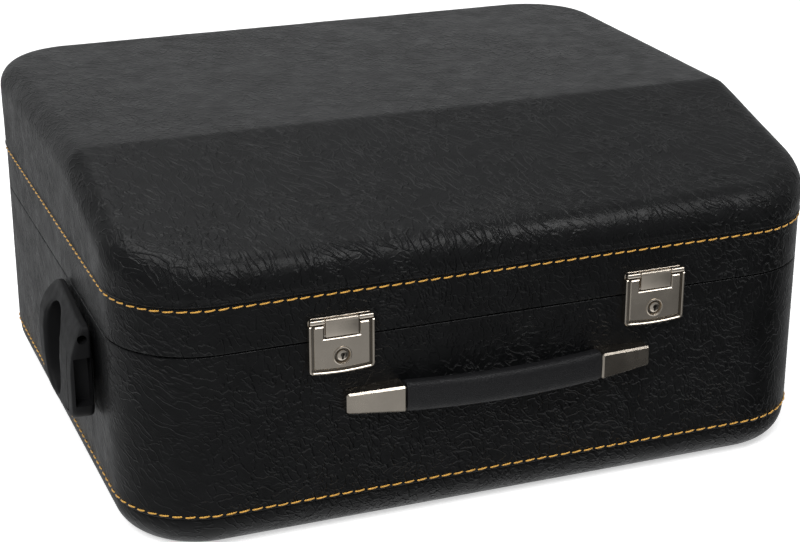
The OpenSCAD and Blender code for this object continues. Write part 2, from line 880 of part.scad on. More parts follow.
module motor_board() {
  inset = wall + 0.3 + rim_t + 0.3;
  color([0.18, 0.12, 0.1])
    difference() {
      translate([0, 0, deck_z - deck_t])
        linear_extrude(deck_t)
          rounded_rect(case_w - 2 * inset, case_d - 2 * inset, corner_r - inset);
      post(spindle_pos[0], spindle_pos[1], deck_z - 20, deck_z + 5, 14);
      for (p = pillar_xy)
        post(p[0], p[1], deck_z - 20, deck_z + 5, 2.5);
      post(arm_pos[0], arm_pos[1], deck_z - 20, deck_z + 5, 17);
      post(needle_pos[0], needle_pos[1], deck_z - 20, deck_z + 5, 20);
      post(speed_pos[0], speed_pos[1], deck_z - 20, deck_z + 5, 3 + fit);
      post(brake_pos[0], brake_pos[1], deck_z - 6, deck_z + 5, 2.5);
      box([grille_box[0] + 4, grille_box[1] + 4, deck_z - 20],
          [grille_box[0] + grille_box[2] - 4, grille_box[1] + grille_box[3] - 4, deck_z + 5]);
    }
}

module board_cleats() {
  color([0.45, 0.3, 0.18])
    union() {
      for (s = [-1, 1])
        box([s > 0 ? half_w - wall - 14 : -half_w + wall, -50, deck_z - deck_t - 16],
            [s > 0 ? half_w - wall : -half_w + wall + 14, 85, deck_z - deck_t]);
      box([-100, -half_d + wall, deck_z - deck_t - 16], [120, -half_d + wall + 14, deck_z - deck_t]);
    }
}

module platter() {
  color([0.5, 0.5, 0.52])
    translate([spindle_pos[0], spindle_pos[1], 0])
      difference() {
        union() {
          post(0, 0, platter_low + 4, platter_high, platter_r, $fn = 128);
          post(0, 0, platter_low, platter_high - 1, 12);
          rotate_extrude($fn = 128)
            translate([platter_r - 4, platter_low - 1])
              square([4, 8]);
        }
        post(0, 0, platter_low - 5, platter_low + 4, arbor_r);
        post(0, 0, platter_low, platter_high + 5, seat_r);
      }
}

module platter_mat() {
  color([0.2, 0.3, 0.2])
    translate([spindle_pos[0], spindle_pos[1], 0])
      difference() {
        post(0, 0, platter_high, platter_high + mat_t, platter_r - 1.5, $fn = 128);
        post(0, 0, platter_high - 5, platter_high + 5, seat_r + 0.1);
      }
}

module speed_lever() {
  color([0.78, 0.76, 0.7])
    union() {
      post(speed_pos[0], speed_pos[1], deck_z - deck_t - 12, deck_z + 4, 3);
      post(speed_pos[0], speed_pos[1], deck_z + 3, deck_z + 11, 8);
      box([speed_pos[0] - 1.5, speed_pos[1], deck_z + 4],
          [speed_pos[0] + 1.5, speed_pos[1] + 15, deck_z + 6]);
      post(speed_pos[0], speed_pos[1], deck_z - deck_t - 12, deck_z - deck_t - 1, 6);
      box([speed_pos[0] - 18, speed_pos[1] - 3, deck_z - deck_t - 11],
          [speed_pos[0], speed_pos[1] + 3, deck_z - deck_t - 8]);
    }
}

module brake_lever() {
  aim = heading(brake_pos, spindle_pos);
  color([0.78, 0.76, 0.7])
    union() {
      post(brake_pos[0], brake_pos[1], deck_z - 5, deck_z + 9, 2.4);
      post(brake_pos[0], brake_pos[1], deck_z + 0.4, deck_z + 7, 6);
      translate([brake_pos[0], brake_pos[1], 0])
        rotate([0, 0, aim]) {
          box([0, -18, deck_z + 2], [8, 0, deck_z + 5]);
          box([4, -22, deck_z + 2], [norm(brake_pos - spindle_pos) - platter_r - 3, -14, deck_z + 8]);
          box([-5, 0, deck_z + 2], [3, 26, deck_z + 5]);
          post(-1, 24, deck_z + 2, deck_z + 14, 5);
        }
    }
}

module tonearm_base() {
  color([0.75, 0.75, 0.77])
    difference() {
      union() {
        post(arm_pos[0], arm_pos[1], deck_z, deck_z + 5, 27);
        post(arm_pos[0], arm_pos[1], throat_high, arm_z - 20, 16);
      }
      post(arm_pos[0], arm_pos[1], throat_high - 5, arm_z + 1, 12.3);
    }
}

// Hollow arm: collar in the base, elbow, and the tube to the gooseneck joint
module tonearm() {
  tube_end = arm_pos[1] - arm_l + 44;
  color([0.75, 0.75, 0.77])
    difference() {
      union() {
        post(arm_pos[0], arm_pos[1], deck_z + 4, arm_z, 12.25);
        post(arm_pos[0], arm_pos[1], arm_z - 19.6, arm_z - 4, 16);
        translate([arm_pos[0], arm_pos[1], arm_z])
          sphere(12.25);
        translate([arm_pos[0], arm_pos[1], arm_z])
          rotate([90, 0, 0])
            cylinder(r1 = 11, r2 = 8, h = arm_pos[1] - tube_end);
      }
      post(arm_pos[0], arm_pos[1], deck_z, arm_z, 10);
      translate([arm_pos[0], arm_pos[1], arm_z])
        sphere(9.8);
      translate([arm_pos[0], arm_pos[1], arm_z])
        rotate([90, 0, 0])
          cylinder(r1 = 9, r2 = 6, h = arm_pos[1] - tube_end + 1);
    }
}

// Soundbox lying flat on its gooseneck, with diaphragm rim, needle bar and needle
module soundbox() {
  y = arm_pos[1] - arm_l + 14;
  neck = arm_pos[1] - arm_l + 43.8;
  color([0.78, 0.76, 0.7])
    translate([arm_pos[0], 0, arm_z]) {
      difference() {
        union() {
          post(0, y, -5, 5, soundbox_r);
          bar_y(0, y + 12, neck, 0, 7.8);
          post(0, y, -8, -4, 9);
        }
        bar_y(0, y + 16, neck + 1, 0, 5.4);
        post(0, y, 3, 6, soundbox_r - 3.5);
      }
      post(0, y, 2, 3.4, soundbox_r - 4);
      box([-soundbox_r - 3, y - 1.5, 5], [-4, y + 1.5, 6.5]);
      box([-soundbox_r - 4, y - 2.5, -1], [-soundbox_r + 1, y + 2.5, 6.5]);
      bar_x(-soundbox_r - 8, -soundbox_r - 3, y, 1.5, 0.8);
      box([-3, y - 1, 2], [3, y + 1, 6.5]);
      box([-6, y - 1.5, 5], [0, y + 1.5, 6.5]);
    }
}

module arm_rest() {
  color([0.75, 0.75, 0.77])
    union() {
      post(arm_pos[0], rest_y, deck_z, deck_z + 3, 9);
      post(arm_pos[0], rest_y, deck_z, arm_z - 12, 3);
      box([arm_pos[0] - 9, rest_y - 6, arm_z - 13], [arm_pos[0] + 9, rest_y + 6, arm_z - 10.2]);
    }
}

// Tapered duct from the throat under the tonearm to the mouth under the grille
module horn() {
  mouth = [grille_box[0] + 1, grille_box[1] - 10,
           grille_box[0] + grille_box[2], grille_box[1] + grille_box[3] + 3];
  color([0.35, 0.2, 0.12])
    difference() {
      union() {
        hull() {
          box([mouth[0] - 2, mouth[1], horn_low], [mouth[2], mouth[3], horn_high]);
          box([arm_pos[0] - 22, arm_pos[1] - 20, throat_low],
              [arm_pos[0] - 18, arm_pos[1] + 20, throat_high]);
        }
        box([arm_pos[0] - 20, arm_pos[1] - 20, throat_low], [arm_pos[0] + 20, arm_pos[1] + 20, throat_high]);
      }
      hull() {
        box([mouth[0] + 4, mouth[1] + 5, horn_low + 4], [mouth[2] - 4, mouth[3] - 5, horn_high - 4]);
        box([arm_pos[0] - 24, arm_pos[1] - 15, throat_low + 5],
            [arm_pos[0] - 17, arm_pos[1] + 15, throat_high - 5]);
      }
      box([arm_pos[0] - 20, arm_pos[1] - 15, throat_low + 5],
          [arm_pos[0] + 15, arm_pos[1] + 15, throat_high - 5]);
      box([mouth[0] + 4, mouth[1] + 14, horn_high - 6], [mouth[2] - 4, mouth[3] - 5, horn_high + 2]);
      post(arm_pos[0], arm_pos[1], throat_high - 10, throat_high + 10, 12);
    }
}

module sound_grille() {
  g = grille_box;
  color([0.75, 0.72, 0.6])
    difference() {
      box([g[0], g[1], deck_z], [g[0] + g[2], g[1] + g[3], deck_z + 1.5]);
      for (i = [0 : 6])
        box([g[0] + 8, g[1] + 6 + i * 9.6, deck_z - 1],
            [g[0] + g[2] - 8, g[1] + 12 + i * 9.6, deck_z + 3]);
    }
}

module needle_cup() {
  color([0.75, 0.75, 0.77])
    difference() {
      union() {
        post(needle_pos[0], needle_pos[1], deck_z - 14, deck_z, 20);
        post(needle_pos[0], needle_pos[1], deck_z, deck_z + 1.2, 24);
        post(needle_pos[0], needle_hinge_y, deck_z, deck_z + 1.2, 7);
        post(needle_pos[0], needle_hinge_y, deck_z, deck_z + 5.6, 2.5);
        box([needle_pos[0] - 5, needle_hinge_y - 12, deck_z],
            [needle_pos[0] + 5, needle_hinge_y, deck_z + 1.2]);
      }
      post(needle_pos[0], needle_pos[1], deck_z - 12.5, deck_z + 3, 18.5);
    }
}

module needle_cup_lid() {
  color([0.75, 0.75, 0.77])
    difference() {
      union() {
        post(needle_pos[0], needle_pos[1], deck_z + 1.6, deck_z + 3, 23);
        post(needle_pos[0], needle_hinge_y, deck_z + 1.6, deck_z + 3, 7);
        box([needle_pos[0] - 6, needle_hinge_y - 12, deck_z + 1.6],
            [needle_pos[0] + 6, needle_hinge_y, deck_z + 3]);
        post(needle_pos[0], needle_pos[1] - 15, deck_z + 2, deck_z + 7, 3);
      }
      post(needle_pos[0], needle_hinge_y, deck_z, deck_z + 5, 2.5 + fit);
    }
}

// ---------------------------------------------------------------- nodes

base_tray();
lower_band();
base_rim();
base_lining();
lid_cap();
upper_band();
lid_rim();
lid_lining();
base_hinge_leaves();
lid_hinge_leaves();
hinge_pins();
base_rear_feet();
lid_rear_feet();
lid_stay();
stay_bracket();
stay_stud();
left_lock_plate();
right_lock_plate();
left_hasp();
right_hasp();
left_key_cylinder();
right_key_cylinder();
hasp_hinge_plates();
handle_caps();
handle_grip();
winding_handle();
winding_shaft();
winding_pinion();
shaft_bush();
shaft_bearing();
motor_board();
board_cleats();
motor_screws();
motor_grommets();
motor_top_plate();
motor_bottom_plate();
motor_pillars();
spring_barrel();
barrel_cover();
mainspring();
barrel_arbor();
crown_wheel();
second_wheel();
spindle();
worm_wheel();
platter();
platter_mat();
governor_shaft();
governor_weights();
governor_brackets();
speed_lever();
brake_lever();
tonearm_base();
tonearm();
soundbox();
horn();
sound_grille();
arm_rest();
needle_cup();
needle_cup_lid();
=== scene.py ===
"""Portable wind-up phonograph in its closed carrying case: shells, fittings and finishes.

Run as a script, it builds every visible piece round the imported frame. All sizes are in
metres, +Z is up, the front with the latches faces -Y and the winding handle is on -X.
"""

import math

import bmesh
import bpy
from mathutils import Matrix, Vector, noise


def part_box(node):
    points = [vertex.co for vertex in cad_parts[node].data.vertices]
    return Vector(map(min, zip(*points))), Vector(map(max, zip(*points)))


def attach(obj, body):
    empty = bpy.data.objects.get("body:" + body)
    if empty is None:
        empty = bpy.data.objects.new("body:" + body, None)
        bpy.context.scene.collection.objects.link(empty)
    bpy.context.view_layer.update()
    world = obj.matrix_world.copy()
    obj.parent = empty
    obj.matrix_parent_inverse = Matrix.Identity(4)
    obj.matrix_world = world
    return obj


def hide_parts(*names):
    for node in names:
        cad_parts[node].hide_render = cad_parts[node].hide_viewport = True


bl_info = {
    "name": "Portable Wind-up Phonograph",
    "version": (1, 0, 0),
    "blender": (4, 5, 0),
    "location": "View3D > Sidebar > Phonograph",
    "description": "Builds the covered case, its fittings and the works of a portable phonograph",
    "category": "Object",
}

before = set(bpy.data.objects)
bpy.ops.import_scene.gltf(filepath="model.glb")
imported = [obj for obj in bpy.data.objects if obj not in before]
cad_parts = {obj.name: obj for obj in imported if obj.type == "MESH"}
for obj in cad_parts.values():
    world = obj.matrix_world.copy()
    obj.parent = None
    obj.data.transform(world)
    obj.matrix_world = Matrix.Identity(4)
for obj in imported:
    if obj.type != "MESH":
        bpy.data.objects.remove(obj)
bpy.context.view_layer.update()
MM = 0.001


def place_of(node):
    """Lowest corner, highest corner and middle of one CAD node."""
    low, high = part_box(node)
    return low, high, (low + high) / 2


BAND_LOW, BAND_HIGH, _ = place_of("lower_band")
_, LID_HIGH, _ = place_of("lid_cap")
UPPER_LOW, UPPER_HIGH, _ = place_of("upper_band")
_, TRAY_HIGH, _ = place_of("base_tray")
HALF_W = BAND_HIGH.x
HALF_D = BAND_HIGH.y
HASP_EYE = 1.6 * MM       # radius of the roll round the hasp's pin
OFF_CENTRE = 1.9 * MM     # how much nearer the middle the handle's right cap sits
CAP_LENGTH = 35.5 * MM
CAP_OUTER = 8 * MM        # how far a handle cap stands out at its outer end
CAP_INNER = 14 * MM       # and at the end where the grip enters
GRIP_RISE = 6 * MM        # how far the grip bows out past its caps


# ------------------------------------------------------------------ sizes and colours


class PHONO_PG_case(bpy.types.PropertyGroup):
    """Sizes of the covered case"""

    corner: bpy.props.FloatProperty(
        name="Corner radius", description="Radius of the upright corners",
        default=0.055, min=0.04, max=0.07, unit="LENGTH")
    wall: bpy.props.FloatProperty(
        name="Wall", description="Thickness of the case's walls",
        default=0.005, min=0.003, max=0.008, unit="LENGTH")
    tray_edge: bpy.props.FloatProperty(
        name="Bottom edge", description="Radius of the rounded bottom edge",
        default=0.020, min=0.01, max=0.022, unit="LENGTH")
    lid_edge: bpy.props.FloatProperty(
        name="Lid edge", description="Radius of the lid's rounded edge",
        default=0.016, min=0.008, max=0.022, unit="LENGTH")
    ridge_y: bpy.props.FloatProperty(
        name="Ridge", description="Where the lid starts to slope to the front",
        default=-0.061, min=-0.08, max=-0.04, unit="LENGTH")
    front_edge: bpy.props.FloatProperty(
        name="Front edge", description="Height that the slope would reach at the front",
        default=0.179, min=0.17, max=0.19, unit="LENGTH")
    stitch_pitch: bpy.props.FloatProperty(
        name="Stitch pitch", description="From one stitch to the next",
        default=0.0081, min=0.005, max=0.012, unit="LENGTH")
    stitch_length: bpy.props.FloatProperty(
        name="Stitch length", description="Length of one stitch",
        default=0.0069, min=0.003, max=0.009, unit="LENGTH")
    thread: bpy.props.FloatProperty(
        name="Thread", description="Radius of the sewing thread",
        default=0.00055, min=0.0003, max=0.001, unit="LENGTH")
    grid: bpy.props.FloatProperty(
        name="Mesh spacing", description="Spacing of the points in the covered shells",
        default=0.0028, min=0.0015, max=0.008, unit="LENGTH")


class PHONO_PG_colours(bpy.types.PropertyGroup):
    """Colours of the finishes"""

    cloth: bpy.props.FloatVectorProperty(
        name="Leather cloth", description="Black covering of the case", subtype="COLOR",
        default=(0.0042, 0.0044, 0.0047), size=3, min=0, max=1)
    thread: bpy.props.FloatVectorProperty(
        name="Thread", description="Golden sewing thread", subtype="COLOR",
        default=(0.80, 0.43, 0.075), size=3, min=0, max=1)
    nickel: bpy.props.FloatVectorProperty(
        name="Nickel", description="Plated fittings", subtype="COLOR",
        default=(0.68, 0.61, 0.52), size=3, min=0, max=1)
    plastic: bpy.props.FloatVectorProperty(
        name="Moulded black", description="Winding handle", subtype="COLOR",
        default=(0.0085, 0.0085, 0.009), size=3, min=0, max=1)
    plush: bpy.props.FloatVectorProperty(
        name="Plush", description="Lining of the case", subtype="COLOR",
        default=(0.16, 0.012, 0.022), size=3, min=0, max=1)
    felt: bpy.props.FloatVectorProperty(
        name="Felt", description="Mat on the turntable", subtype="COLOR",
        default=(0.035, 0.10, 0.05), size=3, min=0, max=1)
    floor: bpy.props.FloatVectorProperty(
        name="Floor", description="Plain floor under the object", subtype="COLOR",
        default=(0.9, 0.9, 0.9), size=3, min=0, max=1)


def case_sizes():
    return bpy.context.scene.phono_case


def colours():
    return bpy.context.scene.phono_colours


# ------------------------------------------------------------------ materials


class Finish:
    """A material under construction: its shader and the nodes that feed it."""

    def __init__(self, name, colour, roughness, metallic=0.0):
        self.material = bpy.data.materials.new(name)
        self.material.use_nodes = True
        self.tree = self.material.node_tree
        self.shader = self.tree.nodes["Principled BSDF"]
        self.shader.inputs["Base Color"].default_value = (*colour, 1)
        self.shader.inputs["Roughness"].default_value = roughness
        self.shader.inputs["Metallic"].default_value = metallic
        self.colour = colour
        self.roughness = roughness
        self.coordinates = self.tree.nodes.new("ShaderNodeTexCoord").outputs["Object"]
        self.normal = None

    def link(self, source, target):
        self.tree.links.new(source, target)

    def add(self, kind, **settings):
        node = self.tree.nodes.new(kind)
        for key, value in settings.items():
            setattr(node, key, value)
        return node

    def stretched(self, scale, turn=(0, 0, 0), source=None):
        """Coordinates scaled along each axis, after a turn."""
        node = self.add("ShaderNodeMapping", vector_type="TEXTURE")
        node.inputs["Rotation"].default_value = [math.radians(a) for a in turn]
        node.inputs["Scale"].default_value = scale
        self.link(source or self.coordinates, node.inputs["Vector"])
        return node.outputs["Vector"]

    def wander(self, size, amount, source=None):
        """Coordinates pushed about by a soft noise, so that straight patterns wander."""
        cloud = self.add("ShaderNodeTexNoise")
        cloud.inputs["Scale"].default_value = 1 / size
        cloud.inputs["Detail"].default_value = 3
        self.link(self.coordinates, cloud.inputs["Vector"])
        push = self.add("ShaderNodeVectorMath", operation="MULTIPLY_ADD")
        push.inputs[1].default_value = (amount,) * 3
        self.link(cloud.outputs["Color"], push.inputs[0])
        self.link(source or self.coordinates, push.inputs[2])
        return push.outputs["Vector"]

    def clouds(self, size, detail=4, vector=None, rough=0.55):
        node = self.add("ShaderNodeTexNoise")
        node.inputs["Scale"].default_value = 1 / size
        node.inputs["Detail"].default_value = detail
        node.inputs["Roughness"].default_value = rough
        self.link(vector or self.coordinates, node.inputs["Vector"])
        return node.outputs["Fac"]

    def cells(self, size, feature="DISTANCE_TO_EDGE", vector=None):
        node = self.add("ShaderNodeTexVoronoi", feature=feature)
        node.inputs["Scale"].default_value = 1 / size
        self.link(vector or self.coordinates, node.inputs["Vector"])
        return node.outputs["Distance"]

    def shape(self, value, low, high, to_low=0.0, to_high=1.0, smooth=True):
        """Rescales a value, held between its new ends."""
        node = self.add("ShaderNodeMapRange",
                        interpolation_type="SMOOTHSTEP" if smooth else "LINEAR")
        for key, number in (("From Min", low), ("From Max", high), ("To Min", to_low), ("To Max", to_high)):
            node.inputs[key].default_value = number
        self.link(value, node.inputs["Value"])
        return node.outputs["Result"]

    def maths(self, operation, a, b):
        node = self.add("ShaderNodeMath", operation=operation)
        for socket, value in zip(node.inputs, (a, b)):
            if isinstance(value, (int, float)):
                socket.default_value = value
            else:
                self.link(value, socket)
        return node.outputs["Value"]

    def bump(self, height, depth, strength=1.0):
        """Adds a layer of relief; depth is the real height of the pattern."""
        node = self.add("ShaderNodeBump")
        node.inputs["Strength"].default_value = strength
        node.inputs["Distance"].default_value = depth
        self.link(height, node.inputs["Height"])
        if self.normal is not None:
            self.link(self.normal, node.inputs["Normal"])
        self.normal = node.outputs["Normal"]
        self.link(self.normal, self.shader.inputs["Normal"])

    def tint(self, factor, darker, lighter):
        """Base colour between two shades of the finish's own colour."""
        node = self.add("ShaderNodeMix", data_type="RGBA")
        node.inputs["A"].default_value = (*[c * darker for c in self.colour], 1)
        node.inputs["B"].default_value = (*[min(1, c * lighter) for c in self.colour], 1)
        self.link(factor, node.inputs["Factor"])
        self.link(node.outputs["Result"], self.shader.inputs["Base Color"])

    def gloss(self, factor, smoothest, roughest):
        self.link(self.shape(factor, 0.3, 0.7, smoothest, roughest, smooth=False),
                  self.shader.inputs["Roughness"])


def leather_cloth():
    """Crushed black cloth: short raised wrinkles that change direction from patch to patch."""
    f = Finish("leather_cloth", colours().cloth, 0.42)
    f.shader.inputs["Specular IOR Level"].default_value = 0.25
    wandering = f.wander(0.035, 0.012)

    def wrinkles(size, longer, turn, sharp):
        """Thin ridges along the level lines of a stretched noise."""
        level = f.clouds(size, 1.5, f.stretched((longer, 1, 1), turn, wandering), 0.45)
        away = f.maths("ABSOLUTE", f.maths("SUBTRACT", level, 0.5), 0)
        return f.shape(away, 0.0, sharp, 1.0, 0.0)

    patch = f.clouds(0.07, 2)
    across = f.shape(patch, 0.42, 0.58)
    strength = f.shape(f.clouds(0.09, 2, f.stretched((1, 1, 1), (40, 20, 10))), 0.36, 0.62, 0.35, 1.2)
    first = wrinkles(0.0052, 5.0, (0, 24, -38), 0.060)
    second = wrinkles(0.0056, 5.0, (0, 38, -74), 0.060)
    third = wrinkles(0.0040, 2.2, (0, -30, 36), 0.070)
    mixed = f.maths("ADD", f.maths("MULTIPLY", first, across),
                    f.maths("MULTIPLY", second, f.maths("SUBTRACT", 1.0, across)))
    ridges = f.maths("ADD", mixed, f.maths("MULTIPLY", third, 0.18))
    f.bump(f.clouds(0.022, 3), 0.0006, 0.45)
    f.bump(f.maths("MULTIPLY", ridges, strength), 0.00042, 1.0)
    f.bump(f.clouds(0.0011, 3), 0.00012, 0.5)
    f.tint(f.shape(f.clouds(0.012, 4), 0.3, 0.7), 0.8, 1.25)
    f.gloss(f.clouds(0.014, 4), 0.29, 0.42)
    return f.material


def sewing_thread():
    """Waxed twisted thread."""
    f = Finish("sewing_thread", colours().thread, 0.5)
    f.shader.inputs["Sheen Weight"].default_value = 0.25
    strands = f.clouds(0.0006, 3, f.stretched((1.0, 1.0, 0.5), (20, 20, 40)))
    f.bump(strands, 0.00025, 0.8)
    f.tint(f.shape(strands, 0.35, 0.65), 0.62, 1.25)
    return f.material


def plated(name, rough, tone, brush):
    """Nickel plate: brush is how deep its fine upright lines are, in metres."""
    f = Finish(name, [min(1, c * tone) for c in colours().nickel], rough, 1.0)
    haze = f.clouds(0.018, 5)
    if brush:
        f.bump(f.clouds(0.0009, 4, f.stretched((1, 1, 26)), 0.7), brush, 0.25)
    f.tint(f.shape(haze, 0.3, 0.7), 0.92, 1.05)
    f.gloss(haze, rough - 0.04, rough + 0.06)
    return f.material


# Near-black finish that stands in for the shade inside hollows: painted shade on the keyhole's walls and in
# the mouths where the grip enters the handle caps
def painted_hollow_shade():
    f = Finish("painted_hollow_shade", (0.012, 0.011, 0.010), 0.7)
    f.gloss(f.clouds(0.001, 3), 0.6, 0.85)
    f.tint(f.clouds(0.002, 3), 0.6, 1.4)
    return f.material


def grip_leather():
    """Fine-grained black strip of the carrying handle."""
    f = Finish("grip_leather", (0.0095, 0.0095, 0.0105), 0.48)
    f.shader.inputs["Specular IOR Level"].default_value = 0.4
    grain = f.cells(0.0011, vector=f.wander(0.004, 0.0016))
    f.bump(f.shape(grain, 0.0, 0.25), 0.00016, 0.7)
    f.bump(f.clouds(0.012, 3), 0.0004, 0.4)
    f.tint(f.shape(grain, 0.0, 0.3), 0.7, 1.3)
    f.gloss(f.clouds(0.008, 3), 0.40, 0.55)
    return f.material


def moulded_black():
    """Fine matt spark texture on moulded plastic."""
    f = Finish("moulded_black", colours().plastic, 0.5)
    f.shader.inputs["Specular IOR Level"].default_value = 0.22
    spark = f.clouds(0.0007, 3, rough=0.7)
    f.bump(spark, 0.00010, 0.4)
    f.tint(f.clouds(0.012, 4), 0.8, 1.25)
    f.gloss(f.clouds(0.006, 4), 0.42, 0.56)
    return f.material


def turned_steel():
    f = Finish("turned_steel", (0.50, 0.51, 0.53), 0.3, 1.0)
    rings = f.clouds(0.0009, 4, f.stretched((14, 14, 1)), 0.6)
    f.bump(rings, 0.00003, 0.3)
    f.tint(f.clouds(0.01, 4), 0.8, 1.1)
    f.gloss(rings, 0.24, 0.42)
    return f.material


def aged_brass():
    f = Finish("aged_brass", (0.66, 0.45, 0.16), 0.3, 1.0)
    haze = f.clouds(0.012, 6)
    f.bump(f.clouds(0.0008, 3, f.stretched((10, 1, 1))), 0.00003, 0.3)
    f.tint(f.shape(haze, 0.3, 0.7), 0.72, 1.15)
    f.gloss(haze, 0.22, 0.42)
    return f.material


def hammered_grey():
    """Grey enamel on the motor's plates and spring barrel."""
    f = Finish("hammered_grey", (0.11, 0.115, 0.125), 0.4)
    f.shader.inputs["Coat Weight"].default_value = 0.3
    dimples = f.cells(0.003, feature="SMOOTH_F1")
    f.bump(dimples, 0.00025, 0.4)
    f.tint(f.clouds(0.02, 4), 0.85, 1.2)
    f.gloss(f.clouds(0.01, 3), 0.32, 0.48)
    return f.material


def spun_aluminium():
    f = Finish("spun_aluminium", (0.62, 0.63, 0.65), 0.32, 1.0)
    lines = f.clouds(0.0008, 4, f.stretched((8, 8, 1)), 0.6)
    f.bump(lines, 0.00003, 0.3)
    f.tint(f.clouds(0.015, 5), 0.85, 1.08)
    f.gloss(lines, 0.26, 0.40)
    return f.material


def pile_cloth(name, colour, size):
    """Short pile, such as plush or felt."""
    f = Finish(name, colour, 0.92)
    f.shader.inputs["Sheen Weight"].default_value = 0.6
    f.shader.inputs["Sheen Roughness"].default_value = 0.45
    fibres = f.clouds(size, 5, rough=0.75)
    f.bump(fibres, 0.0006, 0.7)
    f.bump(f.clouds(0.03, 3), 0.0012, 0.4)
    f.tint(f.shape(f.clouds(0.02, 5), 0.3, 0.7), 0.7, 1.25)
    f.gloss(fibres, 0.85, 0.98)
    return f.material


def plain_wood():
    f = Finish("plain_wood", (0.30, 0.15, 0.065), 0.5)
    grain = f.clouds(0.004, 6, f.stretched((18, 1, 1), source=f.wander(0.05, 0.01)), 0.65)
    f.bump(grain, 0.00015, 0.4)
    f.tint(f.shape(grain, 0.3, 0.7), 0.55, 1.25)
    f.gloss(grain, 0.42, 0.60)
    return f.material


def pressed_fibre():
    f = Finish("pressed_fibre", (0.16, 0.075, 0.03), 0.55)
    flecks = f.clouds(0.0012, 5)
    f.bump(flecks, 0.0001, 0.4)
    f.tint(f.shape(flecks, 0.3, 0.7), 0.6, 1.3)
    f.gloss(flecks, 0.48, 0.65)
    return f.material


def black_rubber():
    f = Finish("black_rubber", (0.018, 0.018, 0.018), 0.75)
    f.bump(f.clouds(0.001, 3), 0.0001, 0.5)
    f.tint(f.clouds(0.004, 3), 0.7, 1.4)
    f.gloss(f.clouds(0.003, 3), 0.68, 0.84)
    return f.material


MAKERS = {
    "leather_cloth": leather_cloth,
    "sewing_thread": sewing_thread,
    "satin_nickel": lambda: plated("satin_nickel", 0.24, 0.98, 0.00001),
    "tab_nickel": lambda: plated("tab_nickel", 0.36, 1.12, 0.000015),
    # Nickel at 0.30 of its colour: painted shade for the recessed channel round the lock plates' raised
    # panel
    "recess_shade_nickel": lambda: plated("recess_shade_nickel", 0.40, 0.30, 0.00001),
    "bright_nickel": lambda: plated("bright_nickel", 0.16, 1.18, 0),
    "painted_hollow_shade": painted_hollow_shade,
    "grip_leather": grip_leather,
    "moulded_black": moulded_black,
    "turned_steel": turned_steel,
    "aged_brass": aged_brass,
    "hammered_grey": hammered_grey,
    "spun_aluminium": spun_aluminium,
    "plush": lambda: pile_cloth("plush", colours().plush, 0.0012),
    "green_felt": lambda: pile_cloth("green_felt", colours().felt, 0.0009),
    "plain_wood": plain_wood,
    "pressed_fibre": pressed_fibre,
    "black_rubber": black_rubber,
}


def finish_of(name):
    """The material of that name, made the first time it is asked for."""
    return bpy.data.materials.get(name) or MAKERS[name]()


# ------------------------------------------------------------------ mesh helpers


def shell_piece(name, bm, finishes, body, replaced=(), smooth=True, crease_angle=None):
    """Turns a bmesh into a piece that rides on a body and stands for CAD nodes."""
    bmesh.ops.recalc_face_normals(bm, faces=bm.faces)
    for face in bm.faces:
        face.smooth = smooth
    mesh = bpy.data.meshes.new(name)
    bm.to_mesh(mesh)
    bm.free()
    if crease_angle is not None:
        mesh.set_sharp_from_angle(angle=math.radians(crease_angle))
    piece = bpy.data.objects.new(name, mesh)
    bpy.context.scene.collection.objects.link(piece)
    for finish in [finishes] if isinstance(finishes, str) else finishes:
        mesh.materials.append(finish_of(finish))
    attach(piece, body)
    if replaced:
        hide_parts(*replaced)
    return piece


def merge(bm, other):
    """Adds a copy of another bmesh, which is freed."""
    mesh = bpy.data.meshes.new("part")
    other.to_mesh(mesh)
    other.free()
    bm.from_mesh(mesh)
    bpy.data.meshes.remove(mesh)


def spread(low, high, step, extra=()):
    """Evenly spaced values from low to high, with some more near chosen places."""
    count = max(1, round((high - low) / step))
    values = {round(low + (high - low) * i / count, 6) for i in range(count + 1)}
    for place in extra:
        if low < place < high:
            values = {v for v in values if abs(v - place) > step * 0.35 or v in (low, high)}
            values.add(round(place, 6))
    return sorted(values)


class Outline:
    """The case's rounded outline, walked anticlockwise, with the same points at any offset."""

    def __init__(self, step, extra_y=()):
        self.r = case_sizes().corner
        self.cx = HALF_W - self.r
        self.cy = HALF_D - self.r
        self.xs = spread(-self.cx, self.cx, step)
        self.ys = spread(-self.cy, self.cy, step, extra_y)
        self.arc = max(8, round(self.r * math.pi / 2 / step))

    def ring(self, offset, height):
        """Points of the outline moved out by offset; height is a number or takes x and y."""
        r = max(self.r + offset, 0)
        flat = []
        sides = [
            ([(x, -self.cy) for x in self.xs], -90),
            ([(self.cx, y) for y in self.ys], 0),
            ([(x, self.cy) for x in reversed(self.xs)], 90),
            ([(-self.cx, y) for y in reversed(self.ys)], 180),
        ]
        for side, facing in sides:
            a = math.radians(facing)
            flat += [(x + r * math.cos(a), y + r * math.sin(a)) for x, y in side]
            x, y = side[-1]
            for k in range(1, self.arc):
                b = math.radians(facing + 90 * k / self.arc)
                flat.append((x + r * math.cos(b), y + r * math.sin(b)))
        return [Vector((x, y, height(x, y) if callable(height) else height)) for x, y in flat]

    def closing_grid(self, bm, ring, height):
        """Fills the middle of a ring with a grid of the same spacing."""
        grid = [[bm.verts.new((x, y, height(x, y))) for x in self.xs] for y in self.ys]
        rim = []
        for side in ([row for row in grid[0]],
                     [row[-1] for row in grid],
                     list(reversed(grid[-1])),
                     [row[0] for row in reversed(grid)]):
            rim += side + [side[-1]] * (self.arc - 1)
        for i, vert in enumerate(ring):
            j = (i + 1) % len(ring)
            corners = [vert, ring[j], rim[j], rim[i]]
            bm.faces.new(corners if rim[j] is not rim[i] else corners[:3])
        for low, high in zip(grid, grid[1:]):
            for i in range(len(low) - 1):
                bm.faces.new((low[i], low[i + 1], high[i + 1], high[i]))


